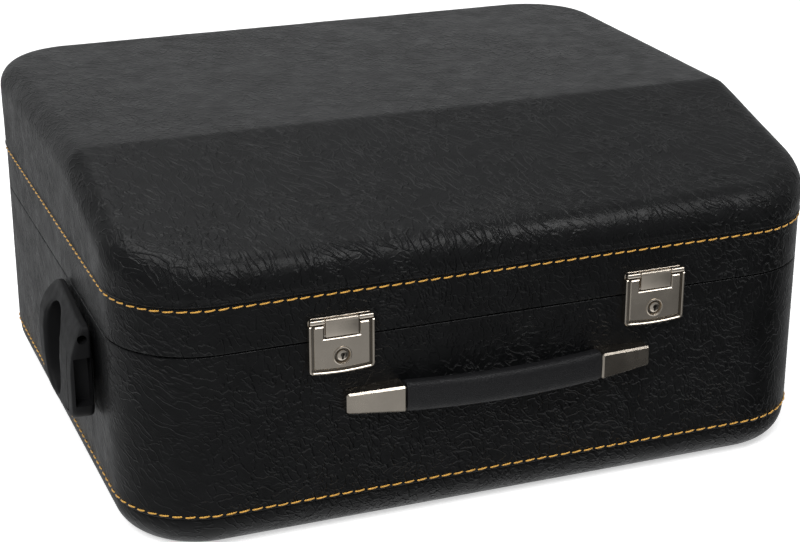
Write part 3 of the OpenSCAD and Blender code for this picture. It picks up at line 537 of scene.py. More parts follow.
def loft(bm, rings, closed=False):
    """Joins rings of equal length with quads and returns the rings as vertices."""
    rows = [[bm.verts.new(p) for p in ring] for ring in rings]
    pairs = list(zip(rows, rows[1:])) + ([(rows[-1], rows[0])] if closed else [])
    for low, high in pairs:
        for i in range(len(low)):
            j = (i + 1) % len(low)
            bm.faces.new((low[i], low[j], high[j], high[i]))
    return rows


def lathe(profile, middle, axis, segments=48):
    """Solid of revolution; profile is (radius, distance along the axis), from end to end."""
    turn = Vector(axis).to_track_quat("Z", "Y").to_matrix()
    bm = bmesh.new()
    rings = []
    for radius, along in profile:
        if radius < 1e-7:
            rings.append([bm.verts.new(turn @ Vector((0, 0, along)) + Vector(middle))])
            continue
        rings.append([bm.verts.new(turn @ Vector((radius * math.cos(a), radius * math.sin(a), along))
                                   + Vector(middle))
                      for a in (2 * math.pi * i / segments for i in range(segments))])
    for low, high in zip(rings, rings[1:]):
        for i in range(segments):
            j = (i + 1) % segments
            quad = [low[i % len(low)], low[j % len(low)], high[j % len(high)], high[i % len(high)]]
            unique = [v for k, v in enumerate(quad) if v not in quad[:k]]
            if len(unique) > 2:
                bm.faces.new(unique)
    if len(rings[0]) > 1 and len(rings[-1]) > 1 and profile[0] != profile[-1]:
        bm.faces.new(rings[0])
        bm.faces.new(rings[-1])
    bmesh.ops.remove_doubles(bm, verts=bm.verts, dist=1e-7)
    return bm


def brick(low, high, bevel=0.0, segments=3):
    """Box from corner to corner with rounded edges."""
    bm = bmesh.new()
    bmesh.ops.create_cube(bm, size=1)
    low, high = Vector(low), Vector(high)
    for v in bm.verts:
        v.co = Vector([low[k] + (v.co[k] + 0.5) * (high[k] - low[k]) for k in range(3)])
    if bevel:
        bmesh.ops.bevel(bm, geom=bm.edges[:], offset=bevel, segments=segments,
                        profile=0.5, affect="EDGES")
    return bm


def inset_loop(loop, distance):
    """Closed loop moved towards its left, which is inwards when it runs anticlockwise."""
    moved = []
    for i, (x, y) in enumerate(loop):
        (ax, ay), (bx, by) = loop[i - 1], loop[(i + 1) % len(loop)]
        d1 = Vector((x - ax, y - ay)).normalized()
        d2 = Vector((bx - x, by - y)).normalized()
        n1, n2 = Vector((-d1.y, d1.x)), Vector((-d2.y, d2.x))
        middle = n1 + n2
        share = distance / max(0.35, n1.dot(middle.normalized())) if middle.length > 1e-6 else distance
        step = middle.normalized() * share if middle.length > 1e-6 else n1 * distance
        moved.append((x + step.x, y + step.y))
    return moved


def pressed_plate(loops, thickness, bevel, to_row, steps=3, both=False):
    """Plate cut to closed outlines, with rounded edges on its front, or on both faces.

    loops are lists of (x, y), the outer one anticlockwise and any holes clockwise; the
    plate stands from 0 to thickness, and to_row is the matrix that puts it in its place.
    """
    turns = [math.pi / 2 * k / steps for k in range(steps + 1)]
    front = [(bevel * (1 - math.cos(a)), thickness - bevel * (1 - math.sin(a))) for a in turns]
    back = [(d, thickness - z) for d, z in reversed(front)] if both else [(0.0, 0.0)]
    levels = back + front
    bm = bmesh.new()
    ends = ([], [])
    for loop in loops:
        rows = [[bm.verts.new((x, y, z)) for x, y in inset_loop(loop, d)] for d, z in levels]
        for low, high in zip(rows, rows[1:]):
            for i in range(len(low)):
                j = (i + 1) % len(low)
                bm.faces.new((low[i], low[j], high[j], high[i]))
        for row, end in ((rows[0], ends[0]), (rows[-1], ends[1])):
            end += [bm.edges.get((row[i], row[(i + 1) % len(row)])) for i in range(len(row))]
    for end in ends:
        bmesh.ops.triangle_fill(bm, use_beauty=True, use_dissolve=False, edges=end)
    bmesh.ops.recalc_face_normals(bm, faces=bm.faces)
    bm.transform(to_row)
    return bm


def arc_points(cx, cy, r, start, end, steps):
    return [(cx + r * math.cos(math.radians(start + (end - start) * k / steps)),
             cy + r * math.sin(math.radians(start + (end - start) * k / steps)))
            for k in range(steps + 1)]


def rounded_loop(low_x, low_y, high_x, high_y, r, steps=6, belly=0.0):
    """Rounded rectangle as a loop of points; belly bows its lower side downwards."""
    points = []
    if belly:
        span = high_x - low_x - 2 * r
        for k in range(1, 12):
            t = k / 12
            points.append((low_x + r + span * t, low_y - belly * 4 * t * (1 - t)))
    points += arc_points(high_x - r, low_y + r, r, -90, 0, steps)
    points += arc_points(high_x - r, high_y - r, r, 0, 90, steps)
    points += arc_points(low_x + r, high_y - r, r, 90, 180, steps)
    points += arc_points(low_x + r, low_y + r, r, 180, 270, steps)
    return points


def facing_front(x, y, z):
    """Matrix for a plate drawn in X and Z, standing on the plane y and growing to the front."""
    return Matrix(((1, 0, 0, x), (0, 0, -1, y), (0, 1, 0, z), (0, 0, 0, 1)))


# ------------------------------------------------------------------ the covered case


def sag(p, size, amount):
    """Slight unevenness of cloth glued over board."""
    return amount * (noise.noise(p / size) - 0.6) / 1.6


def soften(bm, amount=0.00028, size=0.045):
    """Presses the covering in a little here and there, never outwards."""
    bm.normal_update()
    moves = []
    for v in bm.verts:
        broad = sag(v.co, size, amount)
        fine = sag(v.co + Vector((1, 2, 3)), size / 5, amount * 0.35)
        moves.append(v.normal * (broad + fine))
    for v, move in zip(bm.verts, moves):
        v.co += move


def lid_top(x, y):
    """Height of the lid before its edge is rounded: flat behind the ridge, sloping in front."""
    s = case_sizes()
    slope = (LID_HIGH.z - s.front_edge) / (HALF_D + s.ridge_y)
    ahead = s.ridge_y - y
    blend = 2 * MM
    return LID_HIGH.z - slope * (math.hypot(ahead, blend) + ahead) / 2


class PHONO_OT_lid_cover(bpy.types.Operator):
    """Covers the sloping lid: rounded edges, soft ridge and a turned-in lower edge"""

    bl_idname = "phono.lid_cover"
    bl_label = "Lid cover"

    def execute(self, context):
        s = case_sizes()
        proud = LID_HIGH.x - HALF_W
        ridge = [s.ridge_y + k * MM for k in (-6, -4, -2.5, -1.2, 0, 1.2, 2.5, 4, 6)]
        outline = Outline(s.grid, ridge)
        bottom = UPPER_HIGH.z
        r = s.lid_edge

        def over(offset, lowered):
            return outline.ring(offset, lambda x, y: lid_top(x, y) - lowered)

        bm = bmesh.new()
        rings = []
        inner_step = (s.corner + proud - r) / 14
        for k in range(1, 15):
            rings.append(over(-s.corner + inner_step * k, 0))
        for k in range(1, 11):
            a = math.radians(9 * k)
            rings.append(over(proud - r + r * math.sin(a), r * (1 - math.cos(a))))
        wall = 12
        bead = 0.75 * MM
        hollow = 0.45 * MM
        for k in range(1, wall + 1):
            t = k / wall
            rings.append(outline.ring(
                proud - hollow * t,
                lambda x, y, t=t: (lid_top(x, y) - r) * (1 - t) + (bottom + 2.4 * bead) * t))
        for k in range(0, 7):
            a = math.radians(62 - 25.3 * k)
            rings.append(outline.ring(proud - bead * (1 - math.cos(a)), bottom + bead * (1 + math.sin(a))))
        inner = -s.wall - 0.2 * MM
        flange = inner - 2.6 * MM
        under = s.wall + 0.2 * MM
        rings.append(outline.ring(inner, bottom))
        rings.append(outline.ring(inner, bottom - 11 * MM))
        rings.append(outline.ring(flange, bottom - 11 * MM))
        rings.append(outline.ring(flange, bottom + 4 * MM))
        rings.append(outline.ring(-s.wall, bottom + 6 * MM))
        for k in range(0, 7):
            a = math.radians(90 - 15 * k)
            inner_r = r - s.wall
            rings.append(over(proud - s.wall - inner_r + inner_r * math.sin(a),
                              under + inner_r * (1 - math.cos(a))))
        rings.append(over(-s.corner * 0.6, under))
        rows = loft(bm, rings)
        outline.closing_grid(bm, rows[0], lid_top)
        outline.closing_grid(bm, rows[-1], lambda x, y: lid_top(x, y) - under)
        bmesh.ops.recalc_face_normals(bm, faces=bm.faces)
        soften(bm)
        shell_piece("lid_cover", bm, "leather_cloth", "lid",
                    ["lid_cap"], crease_angle=60)
        return {"FINISHED"}


def covered_band(name, z0, z1, body, replaced):
    """Upright band of covered board, with softly rounded upper and lower edges."""
    s = case_sizes()
    outline = Outline(s.grid)
    edge = 0.9 * MM
    rings = []
    for k in range(0, 5):
        a = math.radians(22.5 * k)
        rings.append(outline.ring(-edge * (1 - math.sin(a)), z0 + edge * (1 - math.cos(a))))
    rows = max(2, round((z1 - z0) / s.grid))
    for k in range(1, rows):
        rings.append(outline.ring(0, z0 + edge + (z1 - z0 - 2 * edge) * k / rows))
    for k in range(0, 5):
        a = math.radians(22.5 * k)
        rings.append(outline.ring(-edge * (1 - math.cos(a)), z1 - edge * (1 - math.sin(a))))
    rings.append(outline.ring(-s.wall, z1))
    rings.append(outline.ring(-s.wall, z0))
    bm = bmesh.new()
    loft(bm, rings, closed=True)
    bmesh.ops.recalc_face_normals(bm, faces=bm.faces)
    soften(bm, 0.00022)
    return shell_piece(name, bm, "leather_cloth", body, replaced, crease_angle=60)


class PHONO_OT_bands(bpy.types.Operator):
    """Covers the two upright bands, one on each side of the parting line"""

    bl_idname = "phono.bands"
    bl_label = "Side bands"

    def execute(self, context):
        covered_band("upper_band_cover", UPPER_LOW.z, UPPER_HIGH.z, "lid", ["upper_band"])
        covered_band("lower_band_cover", BAND_LOW.z, BAND_HIGH.z, "case", ["lower_band"])
        return {"FINISHED"}


class PHONO_OT_tray_cover(bpy.types.Operator):
    """Covers the bottom tray with its rounded lower edge"""

    bl_idname = "phono.tray_cover"
    bl_label = "Tray cover"

    def execute(self, context):
        s = case_sizes()
        outline = Outline(s.grid)
        shy = TRAY_HIGH.x - HALF_W
        top = BAND_LOW.z
        r = s.tray_edge
        rings = []
        for k in range(1, 9):
            rings.append(outline.ring(-s.corner + (s.corner + shy - r) * k / 8, 0.0))
        for k in range(1, 13):
            a = math.radians(7.5 * k)
            rings.append(outline.ring(shy - r + r * math.sin(a), r * (1 - math.cos(a))))
        lip = 0.8 * MM
        for k in range(0, 5):
            a = math.radians(22.5 * k)
            rings.append(outline.ring(shy - lip * (1 - math.cos(a)), top - lip * (1 - math.sin(a))))
        inner = -s.wall - 0.2 * MM
        flange = inner - 2.6 * MM
        rings.append(outline.ring(inner, top))
        rings.append(outline.ring(inner, top + 11 * MM))
        rings.append(outline.ring(flange, top + 11 * MM))
        rings.append(outline.ring(flange, top - 2 * MM))
        inner_r = r - s.wall
        for k in range(1, 7):
            a = math.radians(90 - 15 * k)
            rings.append(outline.ring(flange - inner_r + inner_r * math.sin(a),
                                      s.wall + inner_r * (1 - math.cos(a))))
        bm = bmesh.new()
        rows = loft(bm, rings)
        outline.closing_grid(bm, rows[0], lambda x, y: 0.0)
        outline.closing_grid(bm, rows[-1], lambda x, y: s.wall)
        bmesh.ops.recalc_face_normals(bm, faces=bm.faces)
        shell_piece("tray_cover", bm, "leather_cloth", "case",
                    ["base_tray"], crease_angle=60)
        return {"FINISHED"}


def walk(distance):
    """Point, outward normal and direction on the band's outline, distance from the front left."""
    r = case_sizes().corner
    cx, cy = HALF_W - r, HALF_D - r
    sides = [((-cx, -HALF_D), (1, 0), 2 * cx), ((HALF_W, -cy), (0, 1), 2 * cy),
             ((cx, HALF_D), (-1, 0), 2 * cx), ((-HALF_W, cy), (0, -1), 2 * cy)]
    quarter = r * math.pi / 2
    total = sum(side[2] for side in sides) + 4 * quarter
    distance %= total
    for (x, y), (dx, dy), length in sides:
        if distance <= length:
            at = Vector((x + dx * distance, y + dy * distance, 0))
            return at, Vector((dy, -dx, 0)), Vector((dx, dy, 0))
        distance -= length
        if distance <= quarter:
            a = distance / r
            n = Vector((dy, -dx, 0))
            d = Vector((dx, dy, 0))
            centre = Vector((x + dx * length, y + dy * length, 0)) - n * r
            out = n * math.cos(a) + d * math.sin(a)
            return centre + out * r, out, d * math.cos(a) - n * math.sin(a)
        distance -= quarter
    return walk(0)


def outline_length():
    r = case_sizes().corner
    return 4 * (HALF_W + HALF_D - 2 * r) + 2 * math.pi * r


class PHONO_OT_stitching(bpy.types.Operator):
    """Sews the two rows of golden stitches, one round the lid and one round the base"""

    bl_idname = "phono.stitching"
    bl_label = "Stitching"

    def execute(self, context):
        for name, z, body in (("lid_stitching", UPPER_HIGH.z - 2.1 * MM, "lid"),
                              ("base_stitching", BAND_LOW.z + 2.25 * MM, "case")):
            self.row(name, z, body)
        return {"FINISHED"}

    def row(self, name, z, body):
        s = case_sizes()
        count = round(outline_length() / s.stitch_pitch)
        pitch = outline_length() / count
        bm = bmesh.new()
        for i in range(count):
            wobble = noise.noise(Vector((i * 3.7, z * 100, 0.5)))
            start = i * pitch + 0.25 * MM * wobble
            self.stitch(bm, start, s.stitch_length * (1 + 0.04 * wobble), z + 0.12 * MM * wobble, s.thread)
        shell_piece(name, bm, "sewing_thread", body)

    def stitch(self, bm, start, length, z, radius):
        """One stitch: it comes out of the cloth, lies on it and goes back in, slightly slanted."""
        steps, sides = 8, 8
        slant = math.radians(5)
        rings = []
        for k in range(steps + 1):
            t = k / steps
            at, out, _ = walk(start + length * t)
            rise = math.sin(math.pi * t) ** 0.45
            height = z + (t - 0.5) * length * math.sin(slant)
            centre = at + out * (radius * (1.55 * rise - 1.05)) + Vector((0, 0, height))
            r = radius * (0.62 + 0.38 * rise)
            up = Vector((0, 0, 1))
            rings.append([bm.verts.new(centre + out * (r * 0.86 * math.cos(a)) + up * (r * math.sin(a)))
                          for a in (2 * math.pi * j / sides for j in range(sides))])
        for low, high in zip(rings, rings[1:]):
            for j in range(sides):
                m = (j + 1) % sides
                bm.faces.new((low[j], low[m], high[m], high[j]))
        bm.faces.new(list(reversed(rings[0])))
        bm.faces.new(rings[-1])


# ------------------------------------------------------------------ latches and handle


class PHONO_OT_latches(bpy.types.Operator):
    """Two pressed nickel latches: lock plate, key cylinder, folding hasp and hinge plate"""

    bl_idname = "phono.latches"
    bl_label = "Latches"

    def execute(self, context):
        for side in ("left", "right"):
            self.lock_plate(side)
            self.cylinder(side)
            self.hasp(side)
        self.hinge_plates()
        return {"FINISHED"}

    def lock_plate(self, side):
        low, high, middle = place_of(f"{side}_lock_plate")
        hasp_low, hasp_high, _ = place_of(f"{side}_hasp")
        _, _, key = place_of(f"{side}_key_cylinder")
        x, front, w = middle.x, low.y + 0.4 * MM, high.x - low.x
        height = high.z - low.z
        behind = -HALF_D
        depth = behind - front
        gap_w = (hasp_high.x - hasp_low.x) / 2 + 0.55 * MM
        gap_z = hasp_low.z - low.z - 0.7 * MM
        to_row = facing_front(x, behind, low.z)

        def outline(inset, r, notch=0.0, roof=None):
            """The plate's outline with a bowed lower side and the notch for the hasp."""
            half = w / 2 - inset
            top = height - (inset if roof is None else roof)
            foot = inset + 0.9 * MM
            loop = [(-half + r + (2 * half - 2 * r) * k / 16,
                     foot - 0.9 * MM * math.sin(math.pi * k / 16)) for k in range(1, 16)]
            loop += arc_points(half - r, foot + r, r, -90, 0, 6)
            loop += arc_points(half - r, top - r, r, 0, 90, 6)
            side_of_notch, foot_of_notch = gap_w + notch, gap_z - notch
            loop += [(side_of_notch, top), (side_of_notch, foot_of_notch),
                     (-side_of_notch, foot_of_notch), (-side_of_notch, top)]
            loop += arc_points(-half + r, top - r, r, 90, 180, 6)
            loop += arc_points(-half + r, foot + r, r, 180, 270, 6)[:-1]
            return loop

        def rim():
            """Raised rolled rim along the sides and the foot; the hinge's knuckles close its top."""
            sides = []
            for inset, r in ((0, 2.6 * MM), (1.45 * MM, 1.5 * MM)):
                loop = outline(inset, r)
                half = w / 2 - inset
                sides.append([(-half, height)] + loop[-6:] + loop[:22] + [(half, height)])
            return sides[0] + list(reversed(sides[1]))

        # The back plate shows only in the recessed channel between the rim and the raised panel; it takes
        # the darkened nickel, painted shade in that recess
        bm = pressed_plate([outline(0.15 * MM, 2.5 * MM)], depth - 1.3 * MM, 0.2 * MM, to_row)
        for flat in bm.faces:
            flat.material_index = 1
        merge(bm, pressed_plate([rim()], depth, 0.45 * MM, to_row, 1))
        hole = list(reversed(arc_points(0, key.z - low.z, 4.9 * MM, 0, 345, 23)))
        merge(bm, pressed_plate([outline(3.0 * MM, 0.9 * MM, 0.5 * MM, 0.7 * MM), hole], depth - 0.25 * MM,
                                0.55 * MM, to_row, 1))
        merge(bm, brick((x - gap_w - 0.3 * MM, front + 1.9 * MM, hasp_low.z - 1.2 * MM),
                        (x + gap_w + 0.3 * MM, behind, high.z - 0.4 * MM), 0.2 * MM))
        ring = [(3.5, 2.2), (3.5, 1.6), (4.0, 1.6), (4.75, 0.1), (5.0, -0.3), (5.3, -0.4),
                (5.75, -0.15), (5.95, 0.4), (5.95, 2.2), (3.5, 2.2)]
        merge(bm, lathe([(r * MM, d * MM) for r, d in ring], (x, front, key.z), (0, 1, 0), 64))
        shell_piece(f"{side}_lock", bm, ["satin_nickel", "recess_shade_nickel"], "case",
                    [f"{side}_lock_plate"], crease_angle=35)

    def cylinder(self, side):
        """Domed key cylinder with its keyhole sunk in."""
        low, high, middle = place_of(f"{side}_key_cylinder")
        r = (high.x - low.x) / 2
        dome = [(0, 3.0 * MM), (r, 3.0 * MM), (r, 0.9 * MM), (r * 0.96, 0.35 * MM), (r * 0.8, 0.05 * MM),
                (r * 0.5, -0.12 * MM), (0, -0.18 * MM)]
        bm = lathe(dome, (middle.x, low.y + 0.15 * MM, middle.z), (0, 1, 0), 48)
        piece = shell_piece(f"{side}_key_barrel", bm, ["bright_nickel", "painted_hollow_shade"], f"key_{side}",
                            [f"{side}_key_cylinder"], crease_angle=40)
        # The keyhole and its slot are cut out, and the cut walls get the painted shade finish
        cutters = [lathe([(0, -3 * MM), (1.35 * MM, -3 * MM), (1.35 * MM, 2.2 * MM), (0, 2.2 * MM)],
                         (middle.x, low.y, middle.z + 0.55 * MM), (0, 1, 0), 24),
                   brick((middle.x - 0.62 * MM, low.y - 3 * MM, middle.z - 2.4 * MM),
                         (middle.x + 0.62 * MM, low.y + 2.2 * MM, middle.z + 0.6 * MM))]
        for cutter in cutters:
            carve(piece, cutter, "painted_hollow_shade")

    def hasp(self, side):
        """Folding tab, rolled round its pin."""
        low, high, _ = place_of(f"{side}_hasp")
        eye = HASP_EYE
        z_eye = high.z - eye
        bm = brick((low.x, low.y, low.z), (high.x, low.y + 0.85 * MM, z_eye), 0.3 * MM, 3)
        length = high.x - low.x
        merge(bm, lathe([(0.85 * MM, 0), (eye - 0.3 * MM, 0), (eye, 0.3 * MM), (eye, length - 0.3 * MM),
                         (eye - 0.3 * MM, length), (0.85 * MM, length), (0.85 * MM, 0)],
                        (low.x, low.y + eye, z_eye), (1, 0, 0), 40))
        shell_piece(f"{side}_hasp_tab", bm, "tab_nickel", f"hasp_{side}",
                    [f"{side}_hasp"], crease_angle=35)

    def hinge_plates(self):
        low, high, _ = place_of("hasp_hinge_plates")
        bm = bmesh.new()
        for side in ("left", "right"):
            plate_low, plate_high, middle = place_of(f"{side}_lock_plate")
            hasp_low, hasp_high, _ = place_of(f"{side}_hasp")
            half = (plate_high.x - plate_low.x) / 2 - 0.3 * MM
            loop = rounded_loop(-half, 0, half, high.z - low.z, 2.2 * MM)
            merge(bm, pressed_plate([loop], 1.4 * MM, 0.4 * MM, facing_front(middle.x, -HALF_D, low.z)))
            eye = HASP_EYE
            z_eye = hasp_high.z - eye
            y_eye = hasp_low.y + eye
            for x0, x1 in ((middle.x - half + 0.3 * MM, hasp_low.x - 0.35 * MM),
                           (hasp_high.x + 0.35 * MM, middle.x + half - 0.3 * MM)):
                length = x1 - x0
                merge(bm, lathe([(0, 0), (eye - 0.35 * MM, 0), (eye, 0.35 * MM), (eye, length - 0.35 * MM),
                                 (eye - 0.35 * MM, length), (0, length)],
                                (x0, y_eye, z_eye), (1, 0, 0), 32))
                merge(bm, brick((x0 + 0.2 * MM, y_eye, z_eye + 0.1 * MM),
                                (x1 - 0.2 * MM, -HALF_D - 1 * MM, z_eye + eye - 0.02 * MM), 0.2 * MM))
            merge(bm, lathe([(0, 0), (0.8 * MM, 0), (0.8 * MM, hasp_high.x - hasp_low.x + 3 * MM),
                             (0, hasp_high.x - hasp_low.x + 3 * MM)],
                            (hasp_low.x - 1.5 * MM, y_eye, z_eye), (1, 0, 0), 20))
        shell_piece("hasp_hinges", bm, "bright_nickel", "lid",
                    ["hasp_hinge_plates"], crease_angle=35)


def settle(piece):
    """Applies a piece's modifiers to its mesh."""
    bpy.context.view_layer.update()
    result = bpy.data.meshes.new_from_object(piece.evaluated_get(bpy.context.evaluated_depsgraph_get()))
    piece.modifiers.clear()
    old = piece.data
    for material in old.materials:
        if material.name not in result.materials:
            result.materials.append(material)
    name = old.name
    piece.data = result
    bpy.data.meshes.remove(old)
    result.name = name


def carve(piece, cutter, inside=None):
    """Cuts a bmesh solid out of a piece, and lines the cut with a finish of its own."""
    mesh = bpy.data.meshes.new("cutter")
    if inside:
        mesh.materials.append(finish_of(inside))
    bmesh.ops.recalc_face_normals(cutter, faces=cutter.faces)
    cutter.to_mesh(mesh)
    cutter.free()
    tool = bpy.data.objects.new("cutter", mesh)
    bpy.context.scene.collection.objects.link(tool)
    cut = piece.modifiers.new("cut", "BOOLEAN")
    cut.operation = "DIFFERENCE"
    cut.solver = "EXACT"
    cut.object = tool
    cut.material_mode = "TRANSFER" if inside else "INDEX"
    settle(piece)
    bpy.data.objects.remove(tool)
    bpy.data.meshes.remove(mesh)


class PHONO_OT_handle(bpy.types.Operator):
    """The carrying handle: bowed leather grip between two folded nickel caps"""

    bl_idname = "phono.handle"
    bl_label = "Carrying handle"

    def execute(self, context):
        self.caps()
        self.grip()
        return {"FINISHED"}

    def caps(self):
        _, high, middle = place_of("handle_caps")
        bm = bmesh.new()
        for side in (-1, 1):
            outer = high.x * side - (OFF_CENTRE if side > 0 else 0)
            inner = outer - CAP_LENGTH * side
            merge(bm, self.cap(outer, inner, middle.z))
            merge(bm, self.cap_mouth_shade(inner, middle.z))
        shell_piece("handle_end_caps", bm, ["satin_nickel", "painted_hollow_shade"], "case",
                    ["handle_caps"], crease_angle=30)

    def cap(self, outer, inner, z):
        """Tapering box, taller and prouder towards the grip, with polished edges."""
        bm = bmesh.new()
        points = []
        # place along the case, distance out, half height and how far it sits below the middle
        for x, out, half, drop in ((outer, CAP_OUTER, 6.5 * MM, 0.5 * MM),
                                   (inner, CAP_INNER, 8.4 * MM, 0.2 * MM)):
            for y in (0.0, out):
                for up in (-1, 1):
                    points.append(bm.verts.new((x, -HALF_D - y, z - drop + up * half)))
        a, b, c, d, e, f, g, h = points
        for quad in ((a, b, d, c), (e, f, h, g), (a, b, f, e), (c, d, h, g), (a, c, g, e), (b, d, h, f)):
            bm.faces.new(quad)
        bmesh.ops.recalc_face_normals(bm, faces=bm.faces)
        edges = [edge for edge in bm.edges if any(v.co.y < -HALF_D - MM for v in edge.verts)]
        bmesh.ops.bevel(bm, geom=edges, offset=1.15 * MM, segments=1, affect="EDGES")
        return bm

    def cap_mouth_shade(self, inner, z):
        """Thin near-black plate across the cap's inner end: painted shade in the mouth where the grip
        enters the cap.
        """
        step = 0.25 * MM * (1 if inner < 0 else -1)
        low = Vector((min(inner, inner + step), -HALF_D - 12.6 * MM, z - 7.3 * MM))
        high = Vector((max(inner, inner + step), -HALF_D - 0.5 * MM, z + 7.3 * MM))
        bm = brick(low, high)
        # Material 1 is the near-black painted shade finish
        for face in bm.faces:
            face.material_index = 1
        return bm

    def grip(self):
        low, high, middle = place_of("handle_grip")
        tongue = 8 * MM
        reach = high.x - tongue
        centre = -OFF_CENTRE / 2
        half_h = (high.z - low.z) / 2
        rings = []
        steps = 64
        profile = self.section()
        bm = bmesh.new()
        for k in range(-steps, steps + 1):
            t = k / steps
            x = centre + (reach + centre) * t
            bow = GRIP_RISE * (1 - t * t)
            end = max(0.0, (abs(t) - 0.975) / 0.025)
            squeeze = 1 - 0.05 * end * end
            front = CAP_INNER + bow - 0.25 * MM
            back = 2.8 * MM + bow
            ring = []
            for across, up in profile:
                y = back + (front - back) * across
                ring.append(Vector((x, -HALF_D - (back + front) / 2 - (y - (back + front) / 2) * squeeze,
                                    middle.z + up * half_h * squeeze)))
            rings.append(ring)
        rows = loft(bm, rings)
        bm.faces.new(rows[0])
        bm.faces.new(rows[-1])
        for side in (-1, 1):
            x0, x1 = sorted((side * (reach - 2 * MM), side * high.x))
            merge(bm, brick((x0, -HALF_D - 5.4 * MM, middle.z - 5.5 * MM),
                            (x1, -HALF_D - 2.4 * MM, middle.z + 5.5 * MM), 0.6 * MM))
        shell_piece("grip_strap", bm, "grip_leather", "grip", ["handle_grip"], crease_angle=50)

    def section(self):
        """Cross-section of the grip: flat inside, crowned in front; (across 0 to 1, up -1 to 1)."""
        points = []
        for k in range(25):
            a = math.radians(-90 + 180 * k / 24)
            across = 0.55 + 0.45 * math.copysign(abs(math.cos(a)) ** 0.55, math.cos(a))
            points.append((across, math.copysign(abs(math.sin(a)) ** 0.62, math.sin(a))))
        points += [(0.2, 0.96), (0.03, 0.86), (0.0, 0.7), (0.0, -0.7), (0.03, -0.86), (0.2, -0.96)]
        return points


# ------------------------------------------------------------------ winding handle


class PHONO_OT_winding_handle(bpy.types.Operator):
    """Moulded black winding handle with its finger opening, pocket and pin hole"""

    bl_idname = "phono.winding_handle"
    bl_label = "Winding handle"

    def execute(self, context):
        low, high, _ = place_of("winding_handle")
        face = high.x
        thick = high.x - low.x
        to_side = Matrix(((0, 0, -1, face), (1, 0, 0, 0), (0, 1, 0, 0), (0, 0, 0, 1)))
        bm = pressed_plate([self.outline(), self.opening()], thick, 2.2 * MM, to_side, 4, both=True)
        piece = shell_piece("winding_crank", bm, "moulded_black", "winder",
                            ["winding_handle"])
        self.refine(piece)
        for v in piece.data.vertices:
            out = (face - v.co.x) / thick
            v.co.x = face - out * thick * self.thickness(v.co.z / MM)
        for cutter in self.cutters(face, thick):
            carve(piece, cutter)
        piece.data.set_sharp_from_angle(angle=math.radians(40))
        return {"FINISHED"}

    def outline(self):
        """Side view as (y, z): an oval ring that runs into the deep front part."""
        points = arc_points(-49 * MM, 82.5 * MM, 28.5 * MM, -92, 8, 24)
        points += arc_points(-52 * MM, 98 * MM, 29.5 * MM, 8, 105, 26)
        points += [(-80 * MM, 124.5 * MM), (-100 * MM, 122 * MM)]
        points += arc_points(-112 * MM, 115.5 * MM, 6 * MM, 85, 180, 6)
        points += arc_points(-110.5 * MM, 69 * MM, 7.5 * MM, 180, 250, 6)
        points += [(-104 * MM, 60 * MM), (-84 * MM, 56.4 * MM), (-66 * MM, 54.6 * MM)]
        return points

    def opening(self):
        """The finger opening, as a clockwise loop."""
        loop = arc_points(-60.5 * MM, 94 * MM, 23 * MM, 0, 180, 30)
        loop += arc_points(-60.5 * MM, 81 * MM, 23 * MM, 180, 360, 30)
        return list(reversed(loop))

    def thickness(self, z):
        """Share of the full thickness at a height: it thins towards the top and a little below."""
        stops = [(38, 0.80), (56, 0.95), (62, 1.0), (92, 1.0),
                 (103, 0.92), (113, 0.70), (121, 0.42), (129, 0.26)]
        for (z0, t0), (z1, t1) in zip(stops, stops[1:]):
            if z <= z1:
                u = min(1, max(0, (z - z0) / (z1 - z0)))
                return t0 + (t1 - t0) * u
        return stops[-1][1]

    def cutters(self, face, thick):
        """Pin hole, front pocket and the groove on the outer face."""
        outer = face - thick
        yield lathe([(0, 0), (2.9 * MM, 0), (2.9 * MM, 19 * MM), (0, 19 * MM)],
                    (face - 5.6 * MM, -125 * MM, 114.5 * MM), (0, 1, 0), 32)
        yield brick((face - 11.8 * MM, -125 * MM, 71 * MM),
                    (face - 0.9 * MM, -107 * MM, 102.5 * MM), 0.6 * MM)
        path = [(-106 * MM, 105 * MM - 4 * MM * k) for k in range(10)]
        path += arc_points(-101 * MM, 68 * MM, 5 * MM, 190, 300, 8)
        left, right = [], []
        for k, (y, z) in enumerate(path):
            y0, z0 = path[max(0, k - 1)]
            y1, z1 = path[min(len(path) - 1, k + 1)]
            share = 0.45 * MM / math.hypot(y1 - y0, z1 - z0)
            left.append((y + (z0 - z1) * share, z + (y1 - y0) * share))
            right.append((y - (z0 - z1) * share, z - (y1 - y0) * share))
        to_side = Matrix(((0, 0, -1, outer + 1.3 * MM), (1, 0, 0, 0), (0, 1, 0, 0), (0, 0, 0, 1)))
        yield pressed_plate([left + list(reversed(right))], 4 * MM, 0.01 * MM, to_side, 1)

    def refine(self, piece):
        """Even fine mesh with softened edges, as a moulding has."""
        grid = piece.modifiers.new("fine_grid", "REMESH")
        grid.mode = "VOXEL"
        grid.voxel_size = 0.9 * MM
        soft = piece.modifiers.new("round_over", "SMOOTH")
        soft.factor = 0.5
        soft.iterations = 6
        settle(piece)


# ------------------------------------------------------------------ finishes on the CAD nodes


